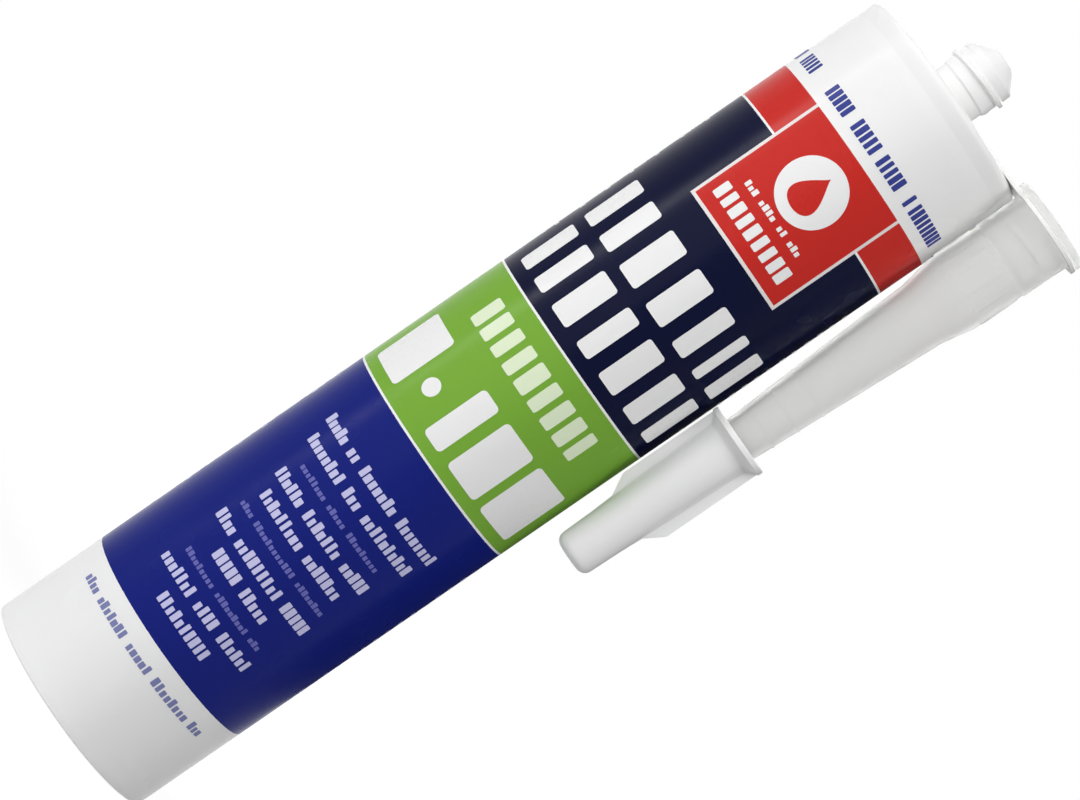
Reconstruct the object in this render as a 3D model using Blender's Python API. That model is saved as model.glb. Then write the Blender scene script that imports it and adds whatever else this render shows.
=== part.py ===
"""Caulk tube: a 300 ml sealant cartridge with its nozzle and winged cap.

The barrel stands on its open foot. Its neck carries a coarse outside thread and is
still sealed at the tip. A thin carrier tag round the neck holds the nozzle beside
the barrel, mouth up and tip down, with the cap on its tip. Inside the barrel a
piston closes the column of sealant.

Units are metres, +Z is up, and the origin is the middle of the bottom of the
whole object's box. The nozzle hangs on the +X side.
"""

from math import asin, atan2, cos, degrees, pi, radians, sin, sqrt

import bmesh
import bpy
from mathutils import Vector

# Driving dimensions, metres unless an angle or a count is named.

# One clearance between pieces that fit each other.
GAP = 0.0003

# Barrel
BARREL_RADIUS = 0.02475
BARREL_WALL = 0.0013
SHOULDER_HEIGHT = 0.2180
SHOULDER_THICKNESS = 0.0020
SHOULDER_ROUNDING = 0.0014
SHOULDER_RECESS = 0.0004
FOOT_CHAMFER = 0.0003
FOOT_LEAD_IN = 0.0004

# Neck and its thread, heights above the shoulder
NECK_ROOT_RADIUS = 0.00640
NECK_ROOT_HEIGHT = 0.0040
NECK_STRAIGHT_HEIGHT = 0.0112
NECK_HEIGHT = 0.0144
NECK_TIP_RADIUS = 0.0030
NECK_WALL = 0.0021
THREAD_CORE_RADIUS = 0.00675
THREAD_DEPTH = 0.00080
THREAD_PITCH = 0.0030
THREAD_TURNS = 1.7
THREAD_ROOT_WIDTH = 0.0017
THREAD_CREST_WIDTH = 0.0007

# Printed fields on the barrel, from the top down, with the blue one taking the rest
PRINT_TOP_MARGIN = 0.0230
RED_BAND = 0.0100
PANEL_HEIGHT = 0.0299
NAVY_BAND = 0.0595
GREEN_BAND = 0.0347
PRINT_FOOT_MARGIN = 0.0252
PRINT_LINE = 0.0008
PRINT_FRONT = radians(-75)
PANEL_HALF_ANGLE = radians(35)

# Piston
PISTON_RISE = 0.0200
PISTON_HEIGHT = 0.0180
PISTON_WALL = 0.0012
PISTON_CROWN = 0.0016
PISTON_LIP_DEPTH = 0.0005
PISTON_LIP_HEIGHT = 0.0026
PISTON_RIB_DEPTH = 0.0013
PISTON_RIB_WIDTH = 0.0010
PISTON_RIB_COUNT = 8
PISTON_BOSS_RADIUS = 0.0075

# Nozzle, heights above its mouth
FLANGE_OVERHANG = 0.00155
FLANGE_THICKNESS = 0.0016
SKIRT_WALL = 0.00090
SKIRT_DRAFT = 0.00012
COLLAR_RADIUS = 0.00840
COLLAR_TOP = 0.0250
COLLAR_RIB_DEPTH = 0.00025
TAPER_FOOT = 0.0320
TAPER_RADIUS = 0.0071
NOZZLE_LENGTH = 0.1173
NOZZLE_TIP_RADIUS = 0.00275
NOZZLE_WALL = 0.0011

# Cap
CAP_REACH = 0.0423
CAP_WALL = 0.0009
CAP_DRAFT = 0.0012
CAP_END_WALL = 0.0013
CAP_COLLAR_OVERHANG = 0.0021
CAP_COLLAR_HEIGHT = 0.0030
WING_THICKNESS = 0.0012
WING_LENGTH = 0.0235
WING_SLANT = 0.0045
WING_TURN = radians(15)

# Carrier tag
CARRIER_THICKNESS = 0.0008
CARRIER_RING_WIDTH = 0.0055
CARRIER_EYE_WIDTH = 0.00135
CARRIER_ARM_WIDTH = 0.0120
CARRIER_FILLET = 0.0040
FINGER_SLITS = 6
FINGER_SLIT_WIDTH = 0.0008
FINGER_LENGTH = 0.0028
STORED_NOZZLE_GAP = 0.0005

# Facets
BARREL_SEGMENTS = 72
NOZZLE_SEGMENTS = 48
CAP_SEGMENTS = 32

# Sizes that follow from the ones above.

RED_TOP = SHOULDER_HEIGHT - PRINT_TOP_MARGIN
RED_FOOT = RED_TOP - RED_BAND
PANEL_FOOT = RED_TOP - PANEL_HEIGHT
NAVY_FOOT = RED_FOOT - NAVY_BAND
GREEN_FOOT = NAVY_FOOT - GREEN_BAND
BLUE_FOOT = PRINT_FOOT_MARGIN

BORE_RADIUS = BARREL_RADIUS - BARREL_WALL
SHOULDER_UNDERSIDE = SHOULDER_HEIGHT - SHOULDER_THICKNESS
THREAD_CREST_RADIUS = THREAD_CORE_RADIUS + THREAD_DEPTH
NECK_BORE_RADIUS = THREAD_CORE_RADIUS - NECK_WALL

SOCKET_RADIUS = THREAD_CREST_RADIUS + GAP
SOCKET_CREST_RADIUS = THREAD_CORE_RADIUS + GAP
SOCKET_DEPTH = NECK_STRAIGHT_HEIGHT + 2 * GAP
SKIRT_RADIUS = SOCKET_RADIUS + SKIRT_WALL
SKIRT_HEIGHT = SOCKET_DEPTH + NOZZLE_WALL
FLANGE_RADIUS = SKIRT_RADIUS + FLANGE_OVERHANG

CARRIER_Z = SHOULDER_HEIGHT + GAP
CARRIER_HOLE_RADIUS = NECK_ROOT_RADIUS + GAP
CARRIER_RING_RADIUS = CARRIER_HOLE_RADIUS + CARRIER_RING_WIDTH
RECESS_RADIUS = CARRIER_RING_RADIUS + 2 * GAP
CARRIER_EYE_HOLE = SKIRT_RADIUS + GAP
CARRIER_EYE_RADIUS = CARRIER_EYE_HOLE + CARRIER_EYE_WIDTH

NOZZLE_OFFSET = BARREL_RADIUS + SKIRT_RADIUS + STORED_NOZZLE_GAP
NOZZLE_MOUTH_Z = CARRIER_Z + CARRIER_THICKNESS + GAP + FLANGE_THICKNESS

# The box runs from the barrel's far side to whichever reaches further at the nozzle.
REACH = NOZZLE_OFFSET + max(CARRIER_EYE_RADIUS, FLANGE_RADIUS)
BARREL_X = -(REACH - BARREL_RADIUS) / 2
NOZZLE_X = BARREL_X + NOZZLE_OFFSET

PISTON_RADIUS = BORE_RADIUS - GAP
PISTON_CUP_RADIUS = PISTON_RADIUS - PISTON_LIP_DEPTH - PISTON_WALL
PISTON_TOP = PISTON_RISE + PISTON_HEIGHT


# Small helpers for sections

def arc(centre_r, centre_z, radius, start, end, steps):
    """Points of an arc in the section plane, angles in degrees from +r towards +z."""
    points = []
    for i in range(steps + 1):
        angle = radians(start + (end - start) * i / steps)
        points.append((centre_r + radius * cos(angle), centre_z + radius * sin(angle)))
    return points


def new_object(name, bm, material, closed_shell=True):
    """Turns a bmesh into a named object with one material, its faces pointing out."""
    bmesh.ops.remove_doubles(bm, verts=bm.verts, dist=0.000001)
    if closed_shell:
        bmesh.ops.recalc_face_normals(bm, faces=bm.faces)
    mesh = bpy.data.meshes.new(name)
    bm.to_mesh(mesh)
    bm.free()
    mesh.materials.append(material)
    mesh.shade_smooth()
    mesh.set_sharp_from_angle(angle=radians(30))
    obj = bpy.data.objects.new(name, mesh)
    bpy.context.scene.collection.objects.link(obj)
    return obj


def turned(name, section, segments, material, wave=None):
    """Revolves a section about Z. A section that starts and ends on the axis is a
    closed body, and any other is a ring whose last point joins its first. The wave
    function gives the extra radius of a point at an angle and a height."""
    bm = bmesh.new()
    rings = []
    for radius, z in section:
        if radius == 0:
            rings.append([bm.verts.new((0, 0, z))] * segments)
            continue
        ring = []
        for i in range(segments):
            angle = 2 * pi * i / segments
            r = radius + (wave(radius, i, z) if wave else 0)
            ring.append(bm.verts.new((r * cos(angle), r * sin(angle), z)))
        rings.append(ring)
    if section[0][0] != 0:
        rings.append(rings[0])
    for low, high in zip(rings, rings[1:]):
        for i in range(segments):
            j = (i + 1) % segments
            corners = [low[i], low[j], high[j], high[i]]
            corners = [v for k, v in enumerate(corners) if v not in corners[:k]]
            bm.faces.new(corners)
    return new_object(name, bm, material)


def thread_ridge(name, base_radius, crest_radius, low_z, material):
    """One closed helical ridge for an outside or an inside thread. Its base is
    buried in the wall, and it runs in and out over a third of a turn."""
    outwards = 1 if crest_radius > base_radius else -1
    buried = base_radius - outwards * 0.0005
    sunk = base_radius - outwards * 0.0001
    steps = round(THREAD_TURNS * 32)
    run_in = 10
    bm = bmesh.new()
    previous = None
    for i in range(steps + 1):
        angle = 2 * pi * THREAD_TURNS * i / steps
        z = low_z + THREAD_ROOT_WIDTH / 2 + THREAD_PITCH * THREAD_TURNS * i / steps
        rise = min(1, i / run_in, (steps - i) / run_in)
        crest = sunk + (crest_radius - sunk) * rise
        half_root = THREAD_ROOT_WIDTH / 2
        half_crest = THREAD_CREST_WIDTH / 2
        section = [
            (buried, z - half_root),
            (crest, z - half_crest),
            (crest, z + half_crest),
            (buried, z + half_root),
        ]
        ring = [bm.verts.new((r * cos(angle), r * sin(angle), h)) for r, h in section]
        if previous:
            for k in range(4):
                m = (k + 1) % 4
                bm.faces.new([previous[k], previous[m], ring[m], ring[k]])
        else:
            bm.faces.new(ring)
        previous = ring
    bm.faces.new(previous)
    return as_tool(new_object(name, bm, material))


def box_tool(bm, corners, low_z, high_z):
    """Adds one upright prism to a bmesh, from its corners in plan."""
    low = [bm.verts.new((x, y, low_z)) for x, y in corners]
    high = [bm.verts.new((x, y, high_z)) for x, y in corners]
    count = len(corners)
    bm.faces.new(low)
    bm.faces.new(high)
    for i in range(count):
        j = (i + 1) % count
        bm.faces.new([low[i], low[j], high[j], high[i]])


def as_tool(obj):
    """Marks an object as one that only shapes another."""
    obj.hide_render = True
    obj.display_type = "WIRE"
    return obj


def join_shape(obj, tool):
    """Joins a tool's shape to an object."""
    tool.location = obj.location
    tool.rotation_euler = obj.rotation_euler
    modifier = obj.modifiers.new(tool.name, "BOOLEAN")
    modifier.operation = "UNION"
    modifier.solver = "EXACT"
    modifier.object = tool


def plastic(name, colour, roughness, alpha=1.0):
    """A Principled material in one colour, given as linear RGB."""
    material = bpy.data.materials.new(name)
    material.use_nodes = True
    shader = material.node_tree.nodes["Principled BSDF"]
    shader.inputs["Base Color"].default_value = (*colour, 1)
    shader.inputs["Roughness"].default_value = roughness
    shader.inputs["Metallic"].default_value = 0
    shader.inputs["Alpha"].default_value = alpha
    material.diffuse_color = (*colour, alpha)
    return material


# Pieces

def make_barrel(white, prints):
    """The one-piece moulding: foot, wall, shoulder, neck and sealed tip."""
    top = SHOULDER_HEIGHT
    neck_top = top + NECK_HEIGHT
    straight_top = top + NECK_STRAIGHT_HEIGHT
    tip_wall = NECK_WALL * 0.7
    root_top = top + NECK_ROOT_HEIGHT
    core_foot = root_top + (THREAD_CORE_RADIUS - NECK_ROOT_RADIUS)
    tip_round = NECK_TIP_RADIUS * 0.4
    inner_corner = SHOULDER_THICKNESS * 0.6
    print_edges = [
        BLUE_FOOT, GREEN_FOOT - PRINT_LINE, GREEN_FOOT, NAVY_FOOT - PRINT_LINE,
        NAVY_FOOT, PANEL_FOOT, RED_FOOT, RED_TOP,
    ]
    section = [(0, neck_top)]
    section += arc(NECK_TIP_RADIUS - tip_round, neck_top - tip_round, tip_round, 90, 20, 3)
    section += [
        (THREAD_CORE_RADIUS, straight_top),
        (THREAD_CORE_RADIUS, core_foot),
        (NECK_ROOT_RADIUS, root_top),
        (NECK_ROOT_RADIUS, top - SHOULDER_RECESS),
        (RECESS_RADIUS, top - SHOULDER_RECESS),
        (RECESS_RADIUS + SHOULDER_RECESS, top),
    ]
    section += arc(
        BARREL_RADIUS - SHOULDER_ROUNDING, top - SHOULDER_ROUNDING,
        SHOULDER_ROUNDING, 90, 0, 4,
    )
    section += [(BARREL_RADIUS, z) for z in reversed(print_edges)]
    section += [
        (BARREL_RADIUS, FOOT_CHAMFER),
        (BARREL_RADIUS - FOOT_CHAMFER, 0),
        (BORE_RADIUS + FOOT_LEAD_IN, 0),
        (BORE_RADIUS, 2 * FOOT_LEAD_IN),
    ]
    section += arc(
        BORE_RADIUS - inner_corner, SHOULDER_UNDERSIDE - inner_corner,
        inner_corner, 0, 90, 3,
    )
    section += [
        (NECK_BORE_RADIUS, SHOULDER_UNDERSIDE),
        (NECK_BORE_RADIUS, straight_top - tip_wall / 2),
        (NECK_TIP_RADIUS - tip_wall, neck_top - tip_wall),
        (0, neck_top - tip_wall),
    ]
    barrel = turned("barrel", section, BARREL_SEGMENTS, white)
    barrel.location = (BARREL_X, 0, 0)
    paint_fields(barrel.data, prints)
    ridge = thread_ridge(
        "neck_thread_shape", THREAD_CORE_RADIUS, THREAD_CREST_RADIUS,
        core_foot + THREAD_DEPTH / 4, white,
    )
    join_shape(barrel, ridge)
    return barrel


def paint_fields(mesh, prints):
    """Gives the outer wall's faces the colour of the field they lie in."""
    slots = {}
    for name, material in prints.items():
        slots[name] = len(mesh.materials)
        mesh.materials.append(material)
    fields = [
        (BLUE_FOOT, GREEN_FOOT - PRINT_LINE, "blue"),
        (GREEN_FOOT, NAVY_FOOT - PRINT_LINE, "green"),
        (NAVY_FOOT, RED_FOOT, "navy"),
        (RED_FOOT, RED_TOP, "red"),
    ]
    for face in mesh.polygons:
        centre = face.center
        out = Vector((centre.x, centre.y))
        if out.length < (BORE_RADIUS + BARREL_RADIUS) / 2 or abs(face.normal.z) > 0.1:
            continue
        for low, high, name in fields:
            if low < centre.z < high:
                face.material_index = slots[name]
        turn = atan2(out.y, out.x) - PRINT_FRONT
        turn = (turn + pi) % (2 * pi) - pi
        if abs(turn) < PANEL_HALF_ANGLE and PANEL_FOOT < centre.z < RED_TOP:
            face.material_index = slots["red"]


def make_piston(material):
    """A thin cup with a sealing lip at each end, open at its foot, and ribs under
    its crown where the gun's plate pushes."""
    waist = PISTON_RADIUS - PISTON_LIP_DEPTH
    lip = PISTON_LIP_HEIGHT
    slope = PISTON_LIP_DEPTH * 2
    underside = PISTON_HEIGHT - PISTON_CROWN
    boss = underside - PISTON_RIB_DEPTH
    section = [
        (0, PISTON_HEIGHT),
        (waist - PISTON_WALL, PISTON_HEIGHT),
        (PISTON_RADIUS, PISTON_HEIGHT - PISTON_WALL / 2),
        (PISTON_RADIUS, PISTON_HEIGHT - lip),
        (waist, PISTON_HEIGHT - lip - slope),
        (waist, lip + slope),
        (PISTON_RADIUS, lip),
        (PISTON_RADIUS, PISTON_WALL / 2),
        (waist, 0),
        (PISTON_CUP_RADIUS, 0),
        (PISTON_CUP_RADIUS, underside - PISTON_WALL),
        (PISTON_CUP_RADIUS - PISTON_WALL, underside),
        (PISTON_BOSS_RADIUS, underside),
        (PISTON_BOSS_RADIUS, boss),
        (0, boss),
    ]
    piston = turned("piston", section, BARREL_SEGMENTS, material)
    piston.location = (BARREL_X, 0, PISTON_RISE)
    bm = bmesh.new()
    half = PISTON_RIB_WIDTH / 2
    inner = PISTON_BOSS_RADIUS - PISTON_RIB_WIDTH
    outer = PISTON_CUP_RADIUS + PISTON_WALL / 3
    for i in range(PISTON_RIB_COUNT):
        angle = 2 * pi * (i + 0.5) / PISTON_RIB_COUNT
        along = Vector((cos(angle), sin(angle)))
        across = Vector((-sin(angle), cos(angle))) * half
        corners = [
            along * inner - across,
            along * outer - across,
            along * outer + across,
            along * inner + across,
        ]
        box_tool(bm, corners, boss + PISTON_RIB_DEPTH * 0.1, underside + PISTON_CROWN / 3)
    ribs = as_tool(new_object("piston_ribs_shape", bm, material))
    join_shape(piston, ribs)
    return piston


def make_sealant(material):
    """The paste, from the piston's crown to the closed tip of the neck."""
    radius = BORE_RADIUS - GAP
    foot = PISTON_TOP + GAP
    head = SHOULDER_UNDERSIDE - GAP
    corner = SHOULDER_THICKNESS * 0.6
    section = [(0, foot), (radius, foot), (radius, head - corner), (radius - corner, head)]
    neck = NECK_BORE_RADIUS - GAP
    top = SHOULDER_HEIGHT + NECK_STRAIGHT_HEIGHT - NECK_WALL / 2
    section += [(neck, head), (neck, top - GAP), (0, top - GAP)]
    sealant = turned("sealant", section, NOZZLE_SEGMENTS, material)
    sealant.location = (BARREL_X, 0, 0)
    return sealant


def taper_radius(height):
    """The nozzle's outer radius on its long taper, at a height above its mouth."""
    share = (height - TAPER_FOOT) / (NOZZLE_LENGTH - TAPER_FOOT)
    return TAPER_RADIUS + (NOZZLE_TIP_RADIUS - TAPER_RADIUS) * share


def make_nozzle(material):
    """Modelled as it stands when screwed on, mouth down at z = 0, and hung in the
    carrier upside down."""
    collar_foot = SKIRT_HEIGHT + (SKIRT_RADIUS - COLLAR_RADIUS)
    flare = FLANGE_OVERHANG * 0.5
    lead_in = THREAD_DEPTH / 2
    rib_low = collar_foot + 0.0010
    rib_high = COLLAR_TOP - 0.0012
    ribbed = COLLAR_RADIUS - 0.00001
    seat = SOCKET_DEPTH + (SOCKET_RADIUS - (COLLAR_RADIUS - NOZZLE_WALL))
    tip_bore = NOZZLE_TIP_RADIUS - NOZZLE_WALL
    section = [
        (FLANGE_RADIUS, 0),
        (FLANGE_RADIUS, FLANGE_THICKNESS),
        (SKIRT_RADIUS, FLANGE_THICKNESS),
        (SKIRT_RADIUS, FLANGE_THICKNESS + flare),
        (SKIRT_RADIUS - SKIRT_DRAFT, SKIRT_HEIGHT),
        (COLLAR_RADIUS, collar_foot),
        (COLLAR_RADIUS, rib_low),
        (ribbed, rib_low + COLLAR_RIB_DEPTH),
        (ribbed, rib_high - COLLAR_RIB_DEPTH),
        (COLLAR_RADIUS, rib_high),
        (COLLAR_RADIUS, COLLAR_TOP),
        (TAPER_RADIUS, TAPER_FOOT),
        (NOZZLE_TIP_RADIUS, NOZZLE_LENGTH),
        (tip_bore, NOZZLE_LENGTH),
        (TAPER_RADIUS - NOZZLE_WALL, TAPER_FOOT - NOZZLE_WALL / 2),
        (COLLAR_RADIUS - NOZZLE_WALL, COLLAR_TOP - NOZZLE_WALL / 2),
        (COLLAR_RADIUS - NOZZLE_WALL, seat),
        (SOCKET_RADIUS, SOCKET_DEPTH),
        (SOCKET_RADIUS, lead_in),
        (SOCKET_RADIUS + lead_in, 0),
    ]

    def ribs(radius, i, z):
        raised = radius == ribbed and i % 4 < 2
        return COLLAR_RIB_DEPTH if raised else 0

    nozzle = turned("nozzle", section, NOZZLE_SEGMENTS, material, ribs)
    nozzle.location = (NOZZLE_X, 0, NOZZLE_MOUTH_Z)
    nozzle.rotation_euler = (pi, 0, 0)
    ridge = thread_ridge(
        "socket_thread_shape", SOCKET_RADIUS, SOCKET_CREST_RADIUS,
        NECK_ROOT_HEIGHT, material,
    )
    join_shape(nozzle, ridge)
    return nozzle


def make_cap(nozzle, material):
    """The winged cap, modelled with its mouth at z = 0 and closed above."""
    seat = NOZZLE_LENGTH - CAP_REACH + CAP_END_WALL + GAP
    mouth = taper_radius(seat) + GAP
    core = mouth + CAP_WALL
    end = core - CAP_DRAFT
    collar = core + CAP_COLLAR_OVERHANG
    rounding = end * 0.45
    section = [(0, CAP_REACH)]
    section += arc(end - rounding, CAP_REACH - rounding, rounding, 90, 0, 4)
    section += [
        (core, CAP_COLLAR_HEIGHT),
        (collar - CAP_WALL / 3, CAP_COLLAR_HEIGHT),
        (collar, CAP_COLLAR_HEIGHT - CAP_WALL / 3),
        (collar, CAP_WALL / 3),
        (collar - CAP_WALL / 3, 0),
        (mouth + CAP_WALL / 3, 0),
        (mouth, CAP_WALL / 3),
        (mouth, CAP_COLLAR_HEIGHT),
        (end - CAP_WALL, CAP_REACH - rounding),
        (end - CAP_WALL * 1.5, CAP_REACH - CAP_END_WALL),
        (0, CAP_REACH - CAP_END_WALL),
    ]
    cap = turned("nozzle_cap", section, CAP_SEGMENTS, material)
    cap.parent = nozzle
    cap.location = (0, 0, seat)
    cap.rotation_euler = (0, 0, -WING_TURN)
    wings = wing_shapes(core, end, collar, rounding, material)
    wings.parent = nozzle
    join_shape(cap, wings)
    return cap


def wing_shapes(core, end, collar, rounding, material):
    """Two flat wings, one on each side, whose ends slant in to the cap's core. Their
    roots lie in the middle of the cap's drafted wall."""
    low = CAP_COLLAR_HEIGHT - CAP_WALL / 2
    high = WING_LENGTH + WING_SLANT
    reach = collar - CAP_WALL / 3
    drafted = CAP_REACH - rounding - CAP_COLLAR_HEIGHT
    draft_at_top = CAP_DRAFT * (high - CAP_COLLAR_HEIGHT) / drafted
    outline = [
        (core - CAP_WALL / 2, low),
        (reach, low),
        (reach, WING_LENGTH),
        (core - CAP_WALL / 2 - draft_at_top, high),
    ]
    half = WING_THICKNESS / 2
    bm = bmesh.new()
    for side in (1, -1):
        faces = []
        for y in (-half, half):
            faces.append([bm.verts.new((side * r, y, z)) for r, z in outline])
        bm.faces.new(faces[0])
        bm.faces.new(faces[1])
        for i in range(4):
            j = (i + 1) % 4
            bm.faces.new([faces[0][i], faces[0][j], faces[1][j], faces[1][i]])
    return as_tool(new_object("cap_wings_shape", bm, material))


def fillet_centre(radius, half_width):
    """How far along the arm the centre of its corner fillet lies."""
    return sqrt((radius + CARRIER_FILLET) ** 2 - (half_width + CARRIER_FILLET) ** 2)


def plate_edge():
    """The tag's outline in plan: ring, filleted arm and eye, for the side y > 0,
    then mirrored."""
    half = CARRIER_ARM_WIDTH / 2
    reach = half + CARRIER_FILLET
    ring_x = fillet_centre(CARRIER_RING_RADIUS, half)
    eye_x = NOZZLE_OFFSET - fillet_centre(CARRIER_EYE_RADIUS, half)
    ring_end = degrees(atan2(reach, ring_x))
    eye_end = degrees(atan2(reach, NOZZLE_OFFSET - eye_x))
    upper = arc(0, 0, CARRIER_RING_RADIUS, 180, ring_end, 20)
    upper += arc(ring_x, reach, CARRIER_FILLET, ring_end + 180, 270, 5)
    upper += arc(eye_x, reach, CARRIER_FILLET, 270, 360 - eye_end, 5)
    upper += arc(NOZZLE_OFFSET, 0, CARRIER_EYE_RADIUS, 180 - eye_end, 0, 20)
    lower = [(x, -y) for x, y in reversed(upper[1:-1])]
    return upper + lower


def finger_hole():
    """The neck hole, with slits that let its fingers spring over the thread."""
    points = []
    half = FINGER_SLIT_WIDTH / 2
    slit_radius = CARRIER_HOLE_RADIUS + FINGER_LENGTH
    near = degrees(asin(half / CARRIER_HOLE_RADIUS))
    far = degrees(asin(half / slit_radius))
    pitch = 360 / FINGER_SLITS
    for i in range(FINGER_SLITS):
        slit = pitch * (i + 0.5)
        points += arc(0, 0, slit_radius, slit - far, slit + far, 1)
        points += arc(0, 0, CARRIER_HOLE_RADIUS, slit + near, slit + pitch - near, 6)
    return points


def make_carrier(material):
    """The flat tag that lies on the shoulder and holds the nozzle."""
    bm = bmesh.new()
    eye = arc(NOZZLE_OFFSET, 0, CARRIER_EYE_HOLE, 0, 352.5, 47)
    for outline in (plate_edge(), finger_hole(), eye):
        verts = [bm.verts.new((x, y, 0)) for x, y in outline]
        for i, vert in enumerate(verts):
            bm.edges.new((verts[i - 1], vert))
    bmesh.ops.triangle_fill(bm, use_beauty=True, edges=bm.edges)
    grown = bmesh.ops.extrude_face_region(bm, geom=bm.faces[:])
    lifted = [v for v in grown["geom"] if isinstance(v, bmesh.types.BMVert)]
    bmesh.ops.translate(bm, verts=lifted, vec=(0, 0, CARRIER_THICKNESS))
    carrier = new_object("nozzle_carrier", bm, material)
    carrier.location = (BARREL_X, 0, CARRIER_Z)
    return carrier


def main():
    for obj in list(bpy.data.objects):
        bpy.data.objects.remove(obj)
    white = plastic("white_polyethylene", (0.84, 0.84, 0.84), 0.38)
    natural = plastic("natural_polyethylene", (0.62, 0.63, 0.63), 0.34, 0.85)
    cap_white = plastic("cap_white", (0.80, 0.80, 0.80), 0.36)
    carrier_white = plastic("carrier_white", (0.80, 0.80, 0.79), 0.40)
    piston_white = plastic("piston_white", (0.78, 0.78, 0.76), 0.40)
    paste = plastic("white_paste", (0.86, 0.86, 0.84), 0.30)
    prints = {
        "blue": plastic("blue_print", (0.008, 0.014, 0.220), 0.36),
        "green": plastic("green_print", (0.195, 0.434, 0.030), 0.36),
        "navy": plastic("navy_print", (0.004, 0.008, 0.033), 0.36),
        "red": plastic("red_print", (0.651, 0.017, 0.013), 0.36),
    }
    make_barrel(white, prints)
    make_piston(piston_white)
    make_sealant(paste)
    nozzle = make_nozzle(natural)
    make_cap(nozzle, cap_white)
    make_carrier(carrier_white)


main()
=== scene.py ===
# %% [markdown]
# # A sealant cartridge, dressed for its picture
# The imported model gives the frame: six plain solids at their real size. This script
# puts a finely modelled piece in the place of each one, prints the barrel, lights the
# set and places the camera. Nothing here moves or resizes the frame.

from math import asin, atan2, ceil, cos, degrees, pi, radians, sin, sqrt, tan

import bmesh
import bpy
from mathutils import Matrix, Vector


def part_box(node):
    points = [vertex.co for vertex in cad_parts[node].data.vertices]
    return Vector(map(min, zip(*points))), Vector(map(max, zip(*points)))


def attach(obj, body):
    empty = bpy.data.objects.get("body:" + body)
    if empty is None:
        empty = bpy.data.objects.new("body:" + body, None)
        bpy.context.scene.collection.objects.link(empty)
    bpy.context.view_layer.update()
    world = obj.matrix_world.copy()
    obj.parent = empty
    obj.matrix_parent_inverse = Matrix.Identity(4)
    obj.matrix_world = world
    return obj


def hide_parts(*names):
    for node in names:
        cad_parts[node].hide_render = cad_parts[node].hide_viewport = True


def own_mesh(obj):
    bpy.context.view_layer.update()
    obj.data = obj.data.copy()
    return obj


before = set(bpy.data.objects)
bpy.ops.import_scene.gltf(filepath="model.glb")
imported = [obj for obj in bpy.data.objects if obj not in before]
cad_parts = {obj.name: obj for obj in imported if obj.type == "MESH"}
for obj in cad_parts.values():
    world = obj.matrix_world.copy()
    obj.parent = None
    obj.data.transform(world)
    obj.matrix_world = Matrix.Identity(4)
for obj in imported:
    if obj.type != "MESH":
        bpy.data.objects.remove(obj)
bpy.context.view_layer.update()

MM = 0.001
# Pieces that fit together stand this far apart, in millimetres
GAP = 0.3


def frame_axis(node):
    """The x of a round node's axis and its largest radius, in millimetres."""
    low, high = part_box(node)
    return (low.x + high.x) / 2 / MM, (high.x - low.x) / 2 / MM


BARREL_X, BARREL_RADIUS = frame_axis("barrel")
NOZZLE_X, FLANGE_RADIUS = frame_axis("nozzle")
NECK_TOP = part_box("barrel")[1].z / MM
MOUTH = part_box("nozzle")[1].z / MM
print(f"barrel radius {BARREL_RADIUS:.2f} mm, nozzle {NOZZLE_X - BARREL_X:.2f} mm beside it")

# %% [markdown]
# ## Tools
# A few small helpers do most of the work. One turns a hex colour, as a paint chart
# gives it, into the linear numbers that a renderer adds up. One adds a node to any
# node tree and links it. One rounds the corners of a section, so that an outline is a
# few corners with a radius each, as a drawing gives it, in millimetres.

# %% Colour and nodes
def colour(code):
    """Linear RGBA of an sRGB hex colour."""
    channels = [int(code[i:i + 2], 16) / 255 for i in (1, 3, 5)]
    linear = [c / 12.92 if c <= 0.04045 else ((c + 0.055) / 1.055) ** 2.4 for c in channels]
    return (*linear, 1)


def add(tree, kind, inputs=None, **settings):
    """Adds a node. Its inputs take a value, an output, or a node's first output."""
    made = tree.nodes.new(kind)
    for name, value in settings.items():
        setattr(made, name, value)
    for name, value in (inputs or {}).items():
        source = value.outputs[0] if isinstance(value, bpy.types.Node) else value
        if isinstance(source, bpy.types.NodeSocket):
            tree.links.new(source, made.inputs[name])
        else:
            made.inputs[name].default_value = source
    return made


# One kind of math node serves materials and geometry alike
MATH = "ShaderNodeMath"

# %% Sections with rounded corners
ARC_STEP = radians(15)


def rounded(corners):
    """Points of a section whose corners are (r, z, radius). Each rounding gets a point
    a little way out on both straights, which keeps the shading of long walls flat."""
    points = []
    for i, (r, z, radius) in enumerate(corners):
        if radius == 0 or i in (0, len(corners) - 1):
            points.append((r, z))
            continue
        corner = Vector((r, z))
        before = Vector(corners[i - 1][:2]) - corner
        after = Vector(corners[i + 1][:2]) - corner
        half = before.angle(after) / 2
        reach = radius / tan(half)
        inward = (before.normalized() + after.normalized()).normalized()
        centre = corner + inward * (radius / sin(half))
        start = corner + before.normalized() * reach - centre
        end = corner + after.normalized() * reach - centre
        turn = atan2(start.x * end.y - start.y * end.x, start.dot(end))
        steps = max(2, ceil(abs(turn) / ARC_STEP))
        curve = [centre + Matrix.Rotation(turn * k / steps, 2) @ start for k in range(steps + 1)]
        support = []
        for side in (before, after):
            further = min(0.35 * radius + 0.05, 0.3 * (side.length - reach))
            support.append(corner + side.normalized() * (reach + further))
        points += [tuple(point) for point in (support[0], *curve, support[1])]
    return points


print("a rounded right angle has", len(rounded([(0, 0, 0), (5, 0, 1), (5, 5, 0)])) - 2, "points")


# %% Meshes and objects
def as_mesh(name, bm):
    mesh = bpy.data.meshes.new(name)
    bm.to_mesh(mesh)
    bm.free()
    return mesh


def placed(name, data):
    """A new object of the scene."""
    obj = bpy.data.objects.new(name, data)
    bpy.context.scene.collection.objects.link(obj)
    return obj


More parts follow.
